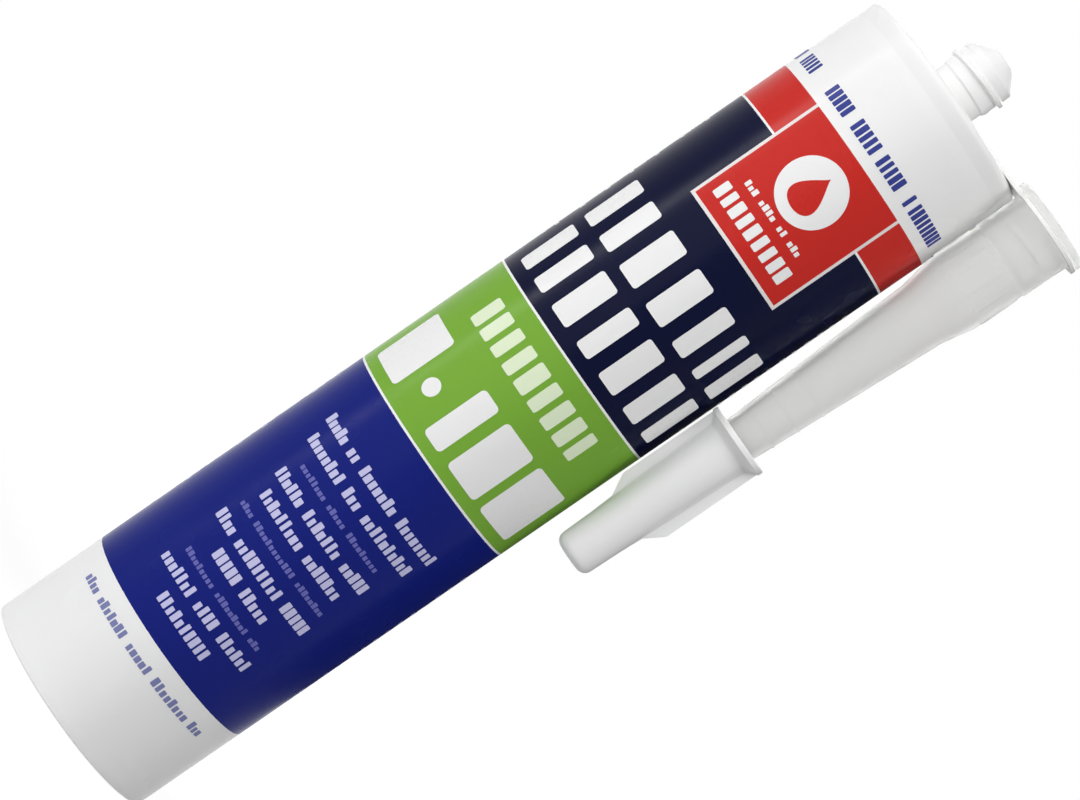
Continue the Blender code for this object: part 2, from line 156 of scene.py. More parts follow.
EDGE_ANGLE = radians(35)


def piece(name, bm, sharp=EDGE_ANGLE):
    """A finished mesh as an object at the origin, shaded smooth but for its edges."""
    mesh = as_mesh(name, bm)
    mesh.shade_smooth()
    if sharp:
        mesh.set_sharp_from_angle(angle=sharp)
    return placed(name, mesh)


# %% Turned shapes
def even_angles(count):
    return [2 * pi * i / count for i in range(count)]


def turned(name, section, angles, axis_x, stands_at=0, hangs=False, swell=None, loop=True):
    """Revolves a section about an upright axis. swell(r, z, angle) gives a point's own
    radius where the shape isn't round. A piece that hangs is measured downwards."""
    bm = bmesh.new()
    rings = []
    for r, z in section:
        height = stands_at - z if hangs else stands_at + z
        if r == 0:
            rings.append([bm.verts.new((axis_x * MM, 0, height * MM))] * len(angles))
            continue
        ring = []
        for angle in angles:
            own = swell(r, z, angle) if swell else r
            x, y = own * cos(angle), own * sin(angle)
            ring.append(bm.verts.new(((axis_x + x) * MM, y * MM, height * MM)))
        rings.append(ring)
    if loop:
        rings.append(rings[0])
    for low, high in zip(rings, rings[1:]):
        for i in range(len(angles)):
            j = (i + 1) % len(angles)
            corners = list(dict.fromkeys((low[i], low[j], high[j], high[i])))
            bm.faces.new(corners)
    bmesh.ops.recalc_face_normals(bm, faces=bm.faces)
    return piece(name, bm)


# %% [markdown]
# ## The camera
# The photograph shows the cartridge leaning to the right against white. Its bands curve
# as on a tube that stands upright before a level camera, so the picture was turned
# afterwards. Here the cartridge stands too, and the camera is rolled. The camera's
# place follows from four numbers: the turn round the barrel, the distance, the eye
# height and the roll.

# %% Camera
VIEW_TURN = radians(-74.7)
VIEW_DISTANCE = 0.840
EYE_HEIGHT = 0.150
AIM_HEIGHT = 0.1151
AIM_RIGHT = 0.0032
ROLL = radians(55.4)
PHOTO_WIDTH = 1080
PIXELS_PER_RADIAN = 4100

towards = Vector((cos(VIEW_TURN), sin(VIEW_TURN), 0))
rightwards = Vector((-sin(VIEW_TURN), cos(VIEW_TURN), 0))
upwards = Vector((0, 0, 1))
barrel_axis = Vector((BARREL_X * MM, 0, 0))
under_aim = barrel_axis + rightwards * AIM_RIGHT
aim = under_aim + upwards * AIM_HEIGHT
stand = under_aim + towards * VIEW_DISTANCE + upwards * EYE_HEIGHT

camera_data = bpy.data.cameras.new("camera")
camera_data.lens = camera_data.sensor_width * PIXELS_PER_RADIAN / PHOTO_WIDTH
camera = placed("camera", camera_data)
camera.location = stand
look = (aim - stand).to_track_quat("-Z", "Y").to_matrix()
camera.rotation_euler = (look @ Matrix.Rotation(ROLL, 3, "Z")).to_euler()
bpy.context.scene.camera = camera
bpy.context.scene.view_settings.view_transform = "Standard"
print("lens", round(camera_data.lens, 1), "mm")

# %% [markdown]
# ## Floor, backdrop and light
# The photograph is cut out on pure white. Here a white floor runs up into a white
# world, and both show white to the camera whatever the lamps do. The floor keeps part
# of its lit colour, so that the foot still has its soft shadow. The light is an even
# white world and four soft boxes, at a level where a white of 90% looks so: a tall
# strip on the left draws the streak down the barrel, the large key box gives it form,
# a small high box reaches the shoulder, and one behind fills the back. As in a studio,
# a black flag on the right keeps the gloss of that edge dark.

# %% Paper floor
def new_material(name):
    """A material with an empty node tree, and the tree."""
    material = bpy.data.materials.new(name)
    material.use_nodes = True
    material.node_tree.nodes.clear()
    return material, material.node_tree


def seen_directly(tree):
    """1 where the camera sees a surface, also in a reflection or through a clear wall."""
    path = add(tree, "ShaderNodeLightPath")
    seen = path.outputs["Is Camera Ray"]
    for ray in ("Is Transmission Ray", "Is Glossy Ray"):
        seen = add(tree, MATH, {0: seen, 1: path.outputs[ray]}, operation="MAXIMUM")
    return seen


SHADOW_REACH = 0.25
PAPER_REACH = 0.70
GLOW_AT_FOOT = 1.65
GLOW_SHARE_AT_FOOT = 0.5


def white_sweep():
    """Paper that shows white and keeps a soft shadow. Near the foot, half of what is
    seen is the lit paper and half its own light. Further off it is all its own light,
    at the strength of the world behind, so no horizon shows. From below it is clear,
    which leaves the open foot in view."""
    material, tree = new_material("white_paper_sweep")
    lit = add(tree, "ShaderNodeBsdfDiffuse", {"Color": colour("#C4C4C4")})
    place = add(tree, "ShaderNodeTexCoord").outputs["Object"]
    away = add(tree, "ShaderNodeVectorMath", {0: place}, operation="LENGTH").outputs["Value"]
    far = {"Value": away, "From Min": SHADOW_REACH, "From Max": PAPER_REACH}
    light = add(tree, "ShaderNodeMapRange", {**far, "To Min": GLOW_AT_FOOT, "To Max": 1.0})
    part = add(tree, "ShaderNodeMapRange", {**far, "To Min": GLOW_SHARE_AT_FOOT, "To Max": 1.0})
    own = add(tree, "ShaderNodeEmission", {"Color": (1, 1, 1, 1), "Strength": light})
    share = add(tree, MATH, {0: seen_directly(tree), 1: part}, operation="MULTIPLY")
    mixed = add(tree, "ShaderNodeMixShader", {0: share, 1: lit, 2: own})
    clear = add(tree, "ShaderNodeBsdfTransparent", {"Color": (1, 1, 1, 1)})
    side = add(tree, "ShaderNodeNewGeometry").outputs["Backfacing"]
    one_sided = add(tree, "ShaderNodeMixShader", {0: side, 1: mixed, 2: clear})
    add(tree, "ShaderNodeOutputMaterial", {"Surface": one_sided})
    return material


FLOOR_DROP = 0.2
FLOOR_RADIUS = 3000
FLOOR_STEPS = 96
FOOT_HOLE = BARREL_RADIUS - 3


def make_floor():
    """A round floor with a hole under the foot, which lets some of the world's light
    into the barrel, for a look from below."""
    outline = [(FOOT_HOLE, -FLOOR_DROP), (FLOOR_RADIUS, -FLOOR_DROP)]
    floor = turned("floor", outline, even_angles(FLOOR_STEPS), BARREL_X, loop=False)
    if floor.data.polygons[0].normal.z < 0:
        floor.data.flip_normals()
    floor.data.materials.append(white_sweep())


make_floor()
print(f"floor {2 * FLOOR_RADIUS * MM:.0f} m across")

# %% White world
ROOM_LIGHT = 0.22


def make_world():
    world = bpy.data.worlds.new("white_room")
    bpy.context.scene.world = world
    world.use_nodes = True
    tree = world.node_tree
    tree.nodes.clear()
    room = add(tree, "ShaderNodeBackground", {"Color": (1, 1, 1, 1), "Strength": ROOM_LIGHT})
    white = add(tree, "ShaderNodeBackground", {"Color": (1, 1, 1, 1), "Strength": 1.0})
    mixed = add(tree, "ShaderNodeMixShader", {0: seen_directly(tree), 1: room, 2: white})
    add(tree, "ShaderNodeOutputWorld", {"Surface": mixed})


make_world()

# %% Flag and soft boxes
FLAG_WIDTH, FLAG_HEIGHT = 0.42, 0.35
FLAG_RIGHT, FLAG_BEHIND = 0.19, 0.16


def make_flag():
    """Black felt behind the barrel on the right, which shows in its gloss alone."""
    bm = bmesh.new()
    bmesh.ops.create_grid(bm, x_segments=1, y_segments=1, size=0.5)
    bmesh.ops.scale(bm, vec=(FLAG_WIDTH, FLAG_HEIGHT, 1), verts=bm.verts)
    flag = piece("black_flag", bm)
    flag.location = barrel_axis + rightwards * FLAG_RIGHT - towards * FLAG_BEHIND
    flag.rotation_euler = (barrel_axis - flag.location).to_track_quat("Z", "Y").to_euler()
    flag.location.z = FLAG_HEIGHT / 2
    felt, tree = new_material("black_felt")
    cloth = add(tree, "ShaderNodeBsdfPrincipled", {"Base Color": colour("#101010"), "Roughness": 1.0})
    add(tree, "ShaderNodeOutputMaterial", {"Surface": cloth})
    flag.data.materials.append(felt)
    for ray in ("camera", "diffuse", "transmission", "shadow"):
        setattr(flag, "visible_" + ray, False)


LAMP_AIM = barrel_axis + upwards * 0.12


def make_lamp(name, watts, width, height, right, near, up, shines_through=True):
    """A soft box, placed from the barrel as the camera sees it."""
    data = bpy.data.lights.new(name, "AREA")
    data.shape = "RECTANGLE"
    data.energy = watts
    data.size = width
    data.size_y = height
    lamp = placed(name, data)
    lamp.location = barrel_axis + rightwards * right + towards * near + upwards * up
    lamp.rotation_euler = (LAMP_AIM - lamp.location).to_track_quat("-Z", "Y").to_euler()
    lamp.visible_transmission = shines_through


make_flag()
make_lamp("strip_box", 5.6, 0.14, 0.90, right=-1.08, near=0.33, up=0.14)
make_lamp("key_box", 14.0, 2.00, 1.50, right=-0.86, near=1.00, up=0.62)
make_lamp("high_box", 3.0, 0.40, 0.40, right=0.35, near=0.45, up=0.75)
make_lamp("back_box", 5.0, 0.80, 0.80, right=0.15, near=-1.30, up=0.45, shines_through=False)
print("soft boxes:", len(bpy.data.lights))

# %% [markdown]
# ## Polyethylene
# The barrel, piston, tag and cap are injection moulded polyethylene: white, waxy and a
# little see-through, so light spreads under its skin. Its gloss is that of a satin
# mould, with a grain too fine to see and long soft waves where the wall cooled. A plain
# white surface would look painted, so the material is a principled one with some
# subsurface light, a roughness that wanders a little, and a bump of two scales.

# %% Moulded polyethylene
def moulded(name, base, roughness, glow, grain_mm=0.35, wave_mm=11, glow_radius_mm=2.2, shine=0.4):
    """Polyethylene from a satin mould. glow is the share of light spread inside."""
    material, tree = new_material(name)
    place = add(tree, "ShaderNodeTexCoord").outputs["Object"]
    grain, wave = [
        add(tree, "ShaderNodeTexNoise", {"Vector": place, "Scale": 1 / (size * MM), "Detail": 2.0})
        for size in (grain_mm, wave_mm)
    ]
    gloss = add(tree, "ShaderNodeMapRange", {
        "Value": wave, "From Min": 0.3, "From Max": 0.7,
        "To Min": roughness - 0.04, "To Max": roughness + 0.04,
    })
    waves = add(tree, "ShaderNodeBump", {"Height": wave, "Strength": 0.12, "Distance": 0.4 * MM})
    grained = add(tree, "ShaderNodeBump", {
        "Height": grain, "Strength": 0.10, "Distance": 0.03 * MM, "Normal": waves,
    })
    shader = add(tree, "ShaderNodeBsdfPrincipled", {
        "Base Color": colour(base), "Roughness": gloss, "IOR": 1.51, "Normal": grained,
        "Subsurface Weight": glow, "Subsurface Radius": (1, 1, 0.95),
        "Subsurface Scale": glow_radius_mm * MM, "Specular IOR Level": shine,
    })
    add(tree, "ShaderNodeOutputMaterial", {"Surface": shader})
    return material


# %% [markdown]
# ## Threads
# The neck has a coarse right-hand thread of under two turns, and the nozzle's mouth
# has the matching one inside. A ridge could be swept along a helix and joined on. Here
# the wall itself swells where the ridge runs, which gives the soft root of a moulded
# thread and keeps one closed skin.

# %% Thread form
PITCH = 3.0
TURNS = 1.7
THREAD_DEPTH = 0.8
THREAD_ROOT = 1.7
THREAD_CREST = 0.7
RUN_IN = 0.3
THREAD_ROW = 0.14


def smooth_step(value):
    value = min(1, max(0, value))
    return value * value * (3 - 2 * value)


def ridge(height, angle):
    """How much of the thread's depth stands at a height above the ridge's start."""
    best = 0
    for k in range(ceil(TURNS)):
        along = angle / (2 * pi) + k
        if along > TURNS:
            continue
        away = abs(height - PITCH * along)
        rise = smooth_step((THREAD_ROOT / 2 - away) / (THREAD_ROOT / 2 - THREAD_CREST / 2))
        best = max(best, rise * min(1, along / RUN_IN, (TURNS - along) / RUN_IN))
    return best


def rows(r, start, end):
    """Plain section points from one height to another, close enough for a thread."""
    count = ceil(abs(end - start) / THREAD_ROW)
    return [(r, start + (end - start) * i / count, 0) for i in range(count + 1)]


print(f"the thread climbs {PITCH * TURNS:.1f} mm")

# %% [markdown]
# ## The barrel
# One moulding: a long thin wall, open at the foot, a flat shoulder with a soft edge,
# the neck with its thread, and a pip that closes the tip until it is cut off. It could
# be cylinders joined by Booleans. Its section, drawn once from the tip down the outside
# and back up the inside, and turned, gives one clean skin instead. The bare wall lies a
# twentieth of a millimetre inside the frame's radius, which leaves room for the ink.

# %% Sizes of the barrel
INK_ROOM = 0.05
SHOULDER = 218.0
WALL = 1.3
SHOULDER_WALL = 2.0
RECESS = 0.4
RECESS_RADIUS = 12.8
GROOVE = SHOULDER - 4.3
GROOVE_REACH = 2.3
GROOVE_DEPTH = 0.13
BORE = BARREL_RADIUS - WALL
FACE = BARREL_RADIUS - INK_ROOM
CORE = 6.75
ROOT = 6.40
ROOT_TOP = SHOULDER + 4.0
CORE_FOOT = ROOT_TOP + 0.35
NECK_STRAIGHT = SHOULDER + 11.2
NECK_BORE = 4.65
TIP_RADIUS = 3.0
RIDGE_START = CORE_FOOT + 1.05
BARREL_STEPS = 180
print(f"bore {2 * BORE:.1f} mm across")


# %% Barrel
def neck_swell(r, z, angle):
    if r != CORE:
        return r
    return r + THREAD_DEPTH * ridge(z - RIDGE_START, angle)


barrel_section = rounded([
    (0, NECK_TOP, 0),
    (TIP_RADIUS, NECK_TOP, 1.2),
    (CORE - 0.02, NECK_STRAIGHT, 0.5),
    *rows(CORE, NECK_STRAIGHT - 0.4, CORE_FOOT + 0.1),
    (CORE - 0.02, CORE_FOOT, 0),
    (ROOT, ROOT_TOP, 0.15),
    (ROOT, SHOULDER - RECESS, 0.5),
    (RECESS_RADIUS, SHOULDER - RECESS, 0.2),
    (RECESS_RADIUS + 0.5, SHOULDER, 0.2),
    (FACE, SHOULDER, 1.4),
    (FACE, GROOVE + GROOVE_REACH, 0.8),
    (FACE - GROOVE_DEPTH, GROOVE, 1.0),
    (FACE, GROOVE - GROOVE_REACH, 0.8),
    (FACE, 0, 0.25),
    (BORE + 0.4, 0, 0.15),
    (BORE, 0.8, 0.4),
    (BORE, SHOULDER - SHOULDER_WALL, 1.2),
    (NECK_BORE, SHOULDER - SHOULDER_WALL, 0.3),
    (NECK_BORE, NECK_STRAIGHT - 0.7, 0.3),
    (TIP_RADIUS - 1.5, NECK_TOP - 1.5, 0.2),
    (0, NECK_TOP - 1.5, 0),
])
barrel = turned(
    "barrel_body", barrel_section, even_angles(BARREL_STEPS), BARREL_X,
    swell=neck_swell, loop=False,
)
print("barrel faces:", len(barrel.data.polygons))

# %% [markdown]
# ## The print
# The barrel is screen printed in four fields: blue below, then green, then navy, with
# a red band above it that drops into a square panel at the front. Thin lines of bare
# white part them. The fields could be painted by face. Here the material works them out
# from the height and from the distance round the wall, so their edges stay sharp at any
# size.

# %% Sizes and colours of the fields
PRINT_FRONT = radians(-73.6)
BLUE_FOOT = 25.2
GREEN_FOOT = 90.8
NAVY_FOOT = 125.5
PANEL_FOOT = 165.1
RED_FOOT = 184.8
RED_TOP = 195.0
LINE = 0.5
OUTLINE = 0.75
PANEL_HALF = BARREL_RADIUS * radians(34.0)
SEAM_HALF = 0.3
SEAM_SHADE = 0.18
FRAY = 0.08
# Grain of the frayed edges: 2200 to the metre, which is 0.45 mm
FRAY_SCALE = 2200.0
BLUE, GREEN, NAVY, RED = "#131F77", "#77A93B", "#050B2E", "#C42D27"
WHITE, LINE_WHITE = "#EDEDED", "#E4DFDE"
ALL_ROUND = 4 * BARREL_RADIUS

# Lowest and highest edge, reach to either side of the front, and colour of each field.
# Each one lies over those before it.
FIELDS = [
    (BLUE_FOOT, GREEN_FOOT - LINE, ALL_ROUND, BLUE),
    (GREEN_FOOT, NAVY_FOOT - LINE, ALL_ROUND, GREEN),
    (NAVY_FOOT, RED_FOOT - LINE, ALL_ROUND, NAVY),
    (RED_FOOT, RED_TOP, ALL_ROUND, RED),
    (PANEL_FOOT - OUTLINE, RED_TOP, PANEL_HALF + OUTLINE, LINE_WHITE),
    (PANEL_FOOT, RED_TOP, PANEL_HALF, RED),
]
print(f"the blue field is {GREEN_FOOT - BLUE_FOOT:.1f} mm high")


# %% Printed polyethylene
def between(tree, value, low, high):
    """1 where a value lies between two others, else 0."""
    above = add(tree, MATH, {0: value, 1: low}, operation="GREATER_THAN")
    below = add(tree, MATH, {0: value, 1: high}, operation="LESS_THAN")
    return add(tree, MATH, {0: above, 1: below}, operation="MULTIPLY")


def printed(material):
    """Adds the colour fields to the barrel's polyethylene."""
    tree = material.node_tree
    shader = tree.nodes["Principled BSDF"]
    place = add(tree, "ShaderNodeTexCoord").outputs["Object"]
    centred = add(tree, "ShaderNodeMapping", {
        "Vector": place, "Location": (BARREL_X * MM, 0, 0), "Rotation": (0, 0, PRINT_FRONT),
    }, vector_type="TEXTURE")
    axes = add(tree, "ShaderNodeSeparateXYZ", {0: centred})
    angle = add(tree, MATH, {0: axes.outputs["Y"], 1: axes.outputs["X"]}, operation="ARCTAN2")
    round_wall = add(tree, MATH, {0: angle, 1: BARREL_RADIUS}, operation="MULTIPLY")
    sideways = add(tree, MATH, {0: round_wall}, operation="ABSOLUTE")
    noise = add(tree, "ShaderNodeTexNoise", {"Vector": place, "Scale": FRAY_SCALE, "Detail": 1.0})
    fray = add(tree, MATH, {0: noise, 1: FRAY}, operation="MULTIPLY")
    height = add(tree, MATH, {0: axes.outputs["Z"], 1: 1 / MM, 2: fray}, operation="MULTIPLY_ADD")
    out = add(tree, "ShaderNodeVectorMath", {0: centred, 1: (1, 1, 0)}, operation="MULTIPLY")
    radius = add(tree, "ShaderNodeVectorMath", {0: out}, operation="LENGTH")
    outside = add(tree, MATH, {
        0: radius.outputs["Value"], 1: (BARREL_RADIUS - WALL / 2) * MM,
    }, operation="GREATER_THAN")
    shown = colour(WHITE)
    for low, high, reach, ink in FIELDS:
        wide = add(tree, MATH, {0: sideways, 1: reach}, operation="LESS_THAN")
        tall = between(tree, height, low, high)
        field = add(tree, MATH, {0: wide, 1: tall}, operation="MULTIPLY")
        mask = add(tree, MATH, {0: field, 1: outside}, operation="MULTIPLY")
        # The colours of a mix node are its inputs 6 and 7 and its output 2
        mixed = add(tree, "ShaderNodeMix", {"Factor": mask, 6: shown, 7: colour(ink)}, data_type="RGBA")
        shown = mixed.outputs[2]
    behind = add(tree, MATH, {0: sideways, 1: pi * BARREL_RADIUS - SEAM_HALF}, operation="GREATER_THAN")
    inked_wall = between(tree, height, BLUE_FOOT, RED_TOP)
    seam = add(tree, MATH, {0: behind, 1: inked_wall}, operation="MULTIPLY")
    seam_shade = add(tree, MATH, {0: seam, 1: -SEAM_SHADE, 2: 1.0}, operation="MULTIPLY_ADD")
    overlap = add(tree, "ShaderNodeVectorMath", {0: shown, "Scale": seam_shade}, operation="SCALE")
    tree.links.new(overlap.outputs[0], shader.inputs["Base Color"])
    return material


coat = printed(moulded("printed_polyethylene", WHITE, 0.25, 0.10, shine=0.07))
barrel.data.materials.append(coat)
print("nodes in the barrel's material:", len(coat.node_tree.nodes))

# %% [markdown]
# ## The marks of the print
# As in a layout artist's sketch, the print is plain blocks. The small lines are rows of
# narrow marks with gaps between them, so a Geometry Nodes tree lays one mark along a
# line, varies the widths and leaves some out, and a second tree wraps the flat row
# round the barrel. Both take their sizes as named inputs. The large blocks are few, so
# they are placed one by one and go through the same wrapping tree. The material could
# draw the marks too, but as pieces of mesh they are easy to count, move and ink.

# %% Flat marks
def strip(bm, columns):
    """A flat shape from its columns, each (x, lowest y, highest y)."""
    low = [bm.verts.new((x, bottom, 0)) for x, bottom, top in columns]
    high = [bm.verts.new((x, top, 0)) for x, bottom, top in columns]
    for i in range(len(columns) - 1):
        corners = list(dict.fromkeys((low[i], low[i + 1], high[i + 1], high[i])))
        bm.faces.new(corners)


def block(bm, across, up, width, height, corner, middle):
    """A block with round corners, with its middle at a place on the flat layout. Its
    straight part is cut into a number of strips, which bend with the wall."""
    inner, half = width / 2 - corner, height / 2
    turns = [pi / 2 * k / 4 for k in range(5)]
    right = [(inner + corner * sin(a), half - corner + corner * cos(a)) for a in turns]
    left = [(-x, y) for x, y in reversed(right[1:])]
    plain = [(inner * (2 * i / middle - 1), half) for i in range(middle)]
    strip(bm, [(across + x, up - y, up + y) for x, y in left + plain + right])


# %% A tree for a row of marks
def new_tree(name, sockets):
    """A geometry tree with a geometry in and out and the named inputs."""
    tree = bpy.data.node_groups.new(name, "GeometryNodeTree")
    tree.interface.new_socket("Geometry", in_out="OUTPUT", socket_type="NodeSocketGeometry")
    for socket, kind in {"Geometry": "Geometry", **sockets}.items():
        tree.interface.new_socket(socket, in_out="INPUT", socket_type=f"NodeSocket{kind}")
    return tree, add(tree, "NodeGroupInput").outputs


def ended(tree, geometry, material):
    """Ends a tree with real geometry in one material, and gives the tree."""
    real = add(tree, "GeometryNodeRealizeInstances", {0: geometry})
    made = add(tree, "GeometryNodeSetMaterial", {"Geometry": real, "Material": material})
    add(tree, "NodeGroupOutput", {0: made})
    return tree


SHORTER_BY = 0.28


def row_tree():
    """Lays the incoming mark along a line, with random widths, a share of gaps and a
    share of shorter marks. Of a random value node's sockets, inputs 2 and 3 and output
    1 are those of a number, and output 3 is that of a yes or no."""
    tree, given = new_tree("row_of_marks", {
        "Count": "Int", "Pitch": "Float", "Height": "Float", "Least width": "Float",
        "Most width": "Float", "Gap share": "Float", "Short share": "Float",
        "Across": "Float", "Up": "Float", "Seed": "Int", "Ink": "Material",
    })
    steps = add(tree, MATH, {0: given["Count"], 1: 1}, operation="SUBTRACT")
    length = add(tree, MATH, {0: steps, 1: given["Pitch"]}, operation="MULTIPLY")
    half = add(tree, MATH, {0: length, 1: 0.5}, operation="MULTIPLY")
    start_x = add(tree, MATH, {0: given["Across"], 1: half}, operation="SUBTRACT")
    start = add(tree, "ShaderNodeCombineXYZ", {"X": start_x, "Y": given["Up"]})
    step = add(tree, "ShaderNodeCombineXYZ", {"X": given["Pitch"]})
    line = add(tree, "GeometryNodeMeshLine", {
        "Count": given["Count"], "Start Location": start, "Offset": step,
    })
    width = add(tree, "FunctionNodeRandomValue", {
        2: given["Least width"], 3: given["Most width"], "Seed": given["Seed"],
    }, data_type="FLOAT")
    gap = add(tree, "FunctionNodeRandomValue", {
        "Probability": given["Gap share"], "Seed": given["Seed"],
    }, data_type="BOOLEAN")
    kept = add(tree, "FunctionNodeBooleanMath", {0: gap.outputs[3]}, operation="NOT")
    other_seed = add(tree, MATH, {0: given["Seed"], 1: 1000}, operation="ADD")
    short = add(tree, "FunctionNodeRandomValue", {
        "Probability": given["Short share"], "Seed": other_seed,
    }, data_type="BOOLEAN")
    cut = add(tree, MATH, {0: short.outputs[3], 1: SHORTER_BY}, operation="MULTIPLY")
    own_share = add(tree, MATH, {0: 1.0, 1: cut}, operation="SUBTRACT")
    own_height = add(tree, MATH, {0: own_share, 1: given["Height"]}, operation="MULTIPLY")
    drop_share = add(tree, MATH, {0: cut, 1: -0.5}, operation="MULTIPLY")
    sink = add(tree, MATH, {0: drop_share, 1: given["Height"]}, operation="MULTIPLY")
    seated = add(tree, "GeometryNodeSetPosition", {
        "Geometry": line, "Offset": add(tree, "ShaderNodeCombineXYZ", {"Y": sink}),
    })
    scale = add(tree, "ShaderNodeCombineXYZ", {"X": width.outputs[1], "Y": own_height, "Z": 1.0})
    marks = add(tree, "GeometryNodeInstanceOnPoints", {
        "Points": seated, "Selection": kept, "Instance": given["Geometry"], "Scale": scale,
    })
    return ended(tree, marks, given["Ink"])


ROW_TREE = row_tree()
print("nodes in the row's tree:", len(ROW_TREE.nodes))


# %% A tree that wraps a layout round a wall
def wrap_tree():
    """Bends a flat layout, x across and y up, round an upright wall."""
    tree, given = new_tree("wrap_round_wall", {
        "Radius": "Float", "Front": "Float", "Axis": "Float", "Scale": "Float", "Ink": "Material",
    })
    flat = add(tree, "ShaderNodeSeparateXYZ", {0: add(tree, "GeometryNodeInputPosition")})
    share = add(tree, MATH, {0: flat.outputs["X"], 1: given["Radius"]}, operation="DIVIDE")
    angle = add(tree, MATH, {0: share, 1: given["Front"]}, operation="ADD")
    out = add(tree, MATH, {0: flat.outputs["Z"], 1: given["Radius"]}, operation="ADD")
    turn_x = add(tree, MATH, {0: angle}, operation="COSINE")
    turn_y = add(tree, MATH, {0: angle}, operation="SINE")
    x = add(tree, MATH, {0: out, 1: turn_x, 2: given["Axis"]}, operation="MULTIPLY_ADD")
    y = add(tree, MATH, {0: out, 1: turn_y}, operation="MULTIPLY")
    bent = add(tree, "ShaderNodeCombineXYZ", {"X": x, "Y": y, "Z": flat.outputs["Y"]})
    sized = add(tree, "ShaderNodeVectorMath", {0: bent, "Scale": given["Scale"]}, operation="SCALE")
    moved = add(tree, "GeometryNodeSetPosition", {"Geometry": given["Geometry"], "Position": sized})
    return ended(tree, moved, given["Ink"])


WRAP_TREE = wrap_tree()
print("nodes in the wrapping tree:", len(WRAP_TREE.nodes))


# %% Trees run over a mesh
def result_of(obj):
    """What an object's modifiers make of it, as a plain mesh."""
    bpy.context.view_layer.update()
    graph = bpy.context.evaluated_depsgraph_get()
    return bpy.data.meshes.new_from_object(obj.evaluated_get(graph))


def run(mesh, steps):
    """Runs geometry trees over a mesh and gives the result as a plain mesh."""
    holder = placed("holder", mesh)
    for tree, values in steps:
        modifier = holder.modifiers.new(tree.name, "NODES")
        modifier.node_group = tree
        for item in tree.interface.items_tree:
            if item.in_out == "INPUT" and item.name in values:
                modifier[item.identifier] = values[item.name]
    result = result_of(holder)
    bpy.data.objects.remove(holder)
    return result


# %% Ink
INK_ROUGHNESS = 0.28
PEEL = 0.8


def printing_ink(name, code):
    """Screen ink on polyethylene: an opaque satin film with the faint orange peel of
    ink that levelled as it dried."""
    material, tree = new_material(name)
    place = add(tree, "ShaderNodeTexCoord").outputs["Object"]
    peel = add(tree, "ShaderNodeTexNoise", {"Vector": place, "Scale": 1 / (PEEL * MM), "Detail": 2.0})
    gloss = add(tree, "ShaderNodeMapRange", {
        "Value": peel, "To Min": INK_ROUGHNESS - 0.05, "To Max": INK_ROUGHNESS + 0.05,
    })
    film = add(tree, "ShaderNodeBump", {"Height": peel, "Strength": 0.10, "Distance": 0.03 * MM})
    shader = add(tree, "ShaderNodeBsdfPrincipled", {
        "Base Color": colour(code), "Roughness": gloss, "IOR": 1.48, "Normal": film,
        "Specular IOR Level": 0.08,
    })
    add(tree, "ShaderNodeOutputMaterial", {"Surface": shader})
    return material


WHITE_INK = printing_ink("white_ink", "#EBEBEB")
PALE_INK = printing_ink("pale_green_ink", "#DDEACB")
LAVENDER_INK = printing_ink("lavender_ink", "#C2C1E4")
FAINT_INK = printing_ink("faint_blue_ink", "#6769B0")
BLUE_INK = printing_ink("blue_ink", "#39428C")
GREY_INK = printing_ink("grey_blue_ink", "#7B80AE")
RED_INK = printing_ink("red_ink", RED)
print("materials:", len(bpy.data.materials))

# %% Layouts wrapped round the barrel
INK_TOP = BARREL_RADIUS - 0.012
OVERPRINT_TOP = BARREL_RADIUS - 0.002
FILM = 0.055


def wrap_values(ink, radius=INK_TOP):
    """The wrapping tree with its inputs for the barrel."""
    return WRAP_TREE, {
        "Radius": radius, "Front": PRINT_FRONT, "Axis": BARREL_X, "Scale": MM, "Ink": ink,
    }


def flat_mesh(fill):
    """A flat mesh from a function that fills a bmesh."""
    bm = bmesh.new()
    fill(bm)
    return as_mesh("flat", bm)


def wrapped(ink, fill, radius=INK_TOP):
    return run(flat_mesh(fill), [wrap_values(ink, radius)])


# %% Rows of marks
UNIT_MARK = flat_mesh(lambda bm: block(bm, 0, 0, 1, 1, 0.12, middle=2))


def row(ink, up, count, pitch, height, across=0, least=0.60, most=0.86, gaps=0.0, short=0.0, seed=1):
    """One wrapped row of marks. Widths are shares of the pitch."""
    values = {
        "Count": count, "Pitch": pitch, "Height": height, "Least width": least * pitch,
        "Most width": most * pitch, "Gap share": gaps, "Short share": short,
        "Across": across, "Up": up, "Seed": seed, "Ink": ink,
    }
    return run(UNIT_MARK, [(ROW_TREE, values), wrap_values(ink)])


def groups(ink, up, lengths, pitch, height, across=0, seed=1):
    """A wrapped row of groups, each a short run of marks, centred on a place."""
    total = sum(lengths) + len(lengths) - 1
    left = -total / 2
    made = []
    for i, length in enumerate(lengths):
        middle = across + (left + length / 2) * pitch
        made.append(row(ink, up, length, pitch, height, across=middle, short=0.6, seed=seed + i))
        left += length + 1
    return made


def stretches(ink, up, ends, pitch, height, seed=1):
    """A wrapped row of groups, each given by where it starts and ends."""
    made = []
    for i, (left, right) in enumerate(ends):
        count = max(1, round((right - left) / pitch))
        middle = (left + right) / 2
        made.append(row(ink, up, count, pitch, height, across=middle, seed=seed + i))
    return made


# %% Blocks, disc and drop
def large(ink, blocks, up, height, corner):
    """Wrapped blocks, each (place across, width)."""
    def fill(bm):
        for across, width in blocks:
            block(bm, across, up, width, height, corner, middle=max(4, round(width)))
    return wrapped(ink, fill)


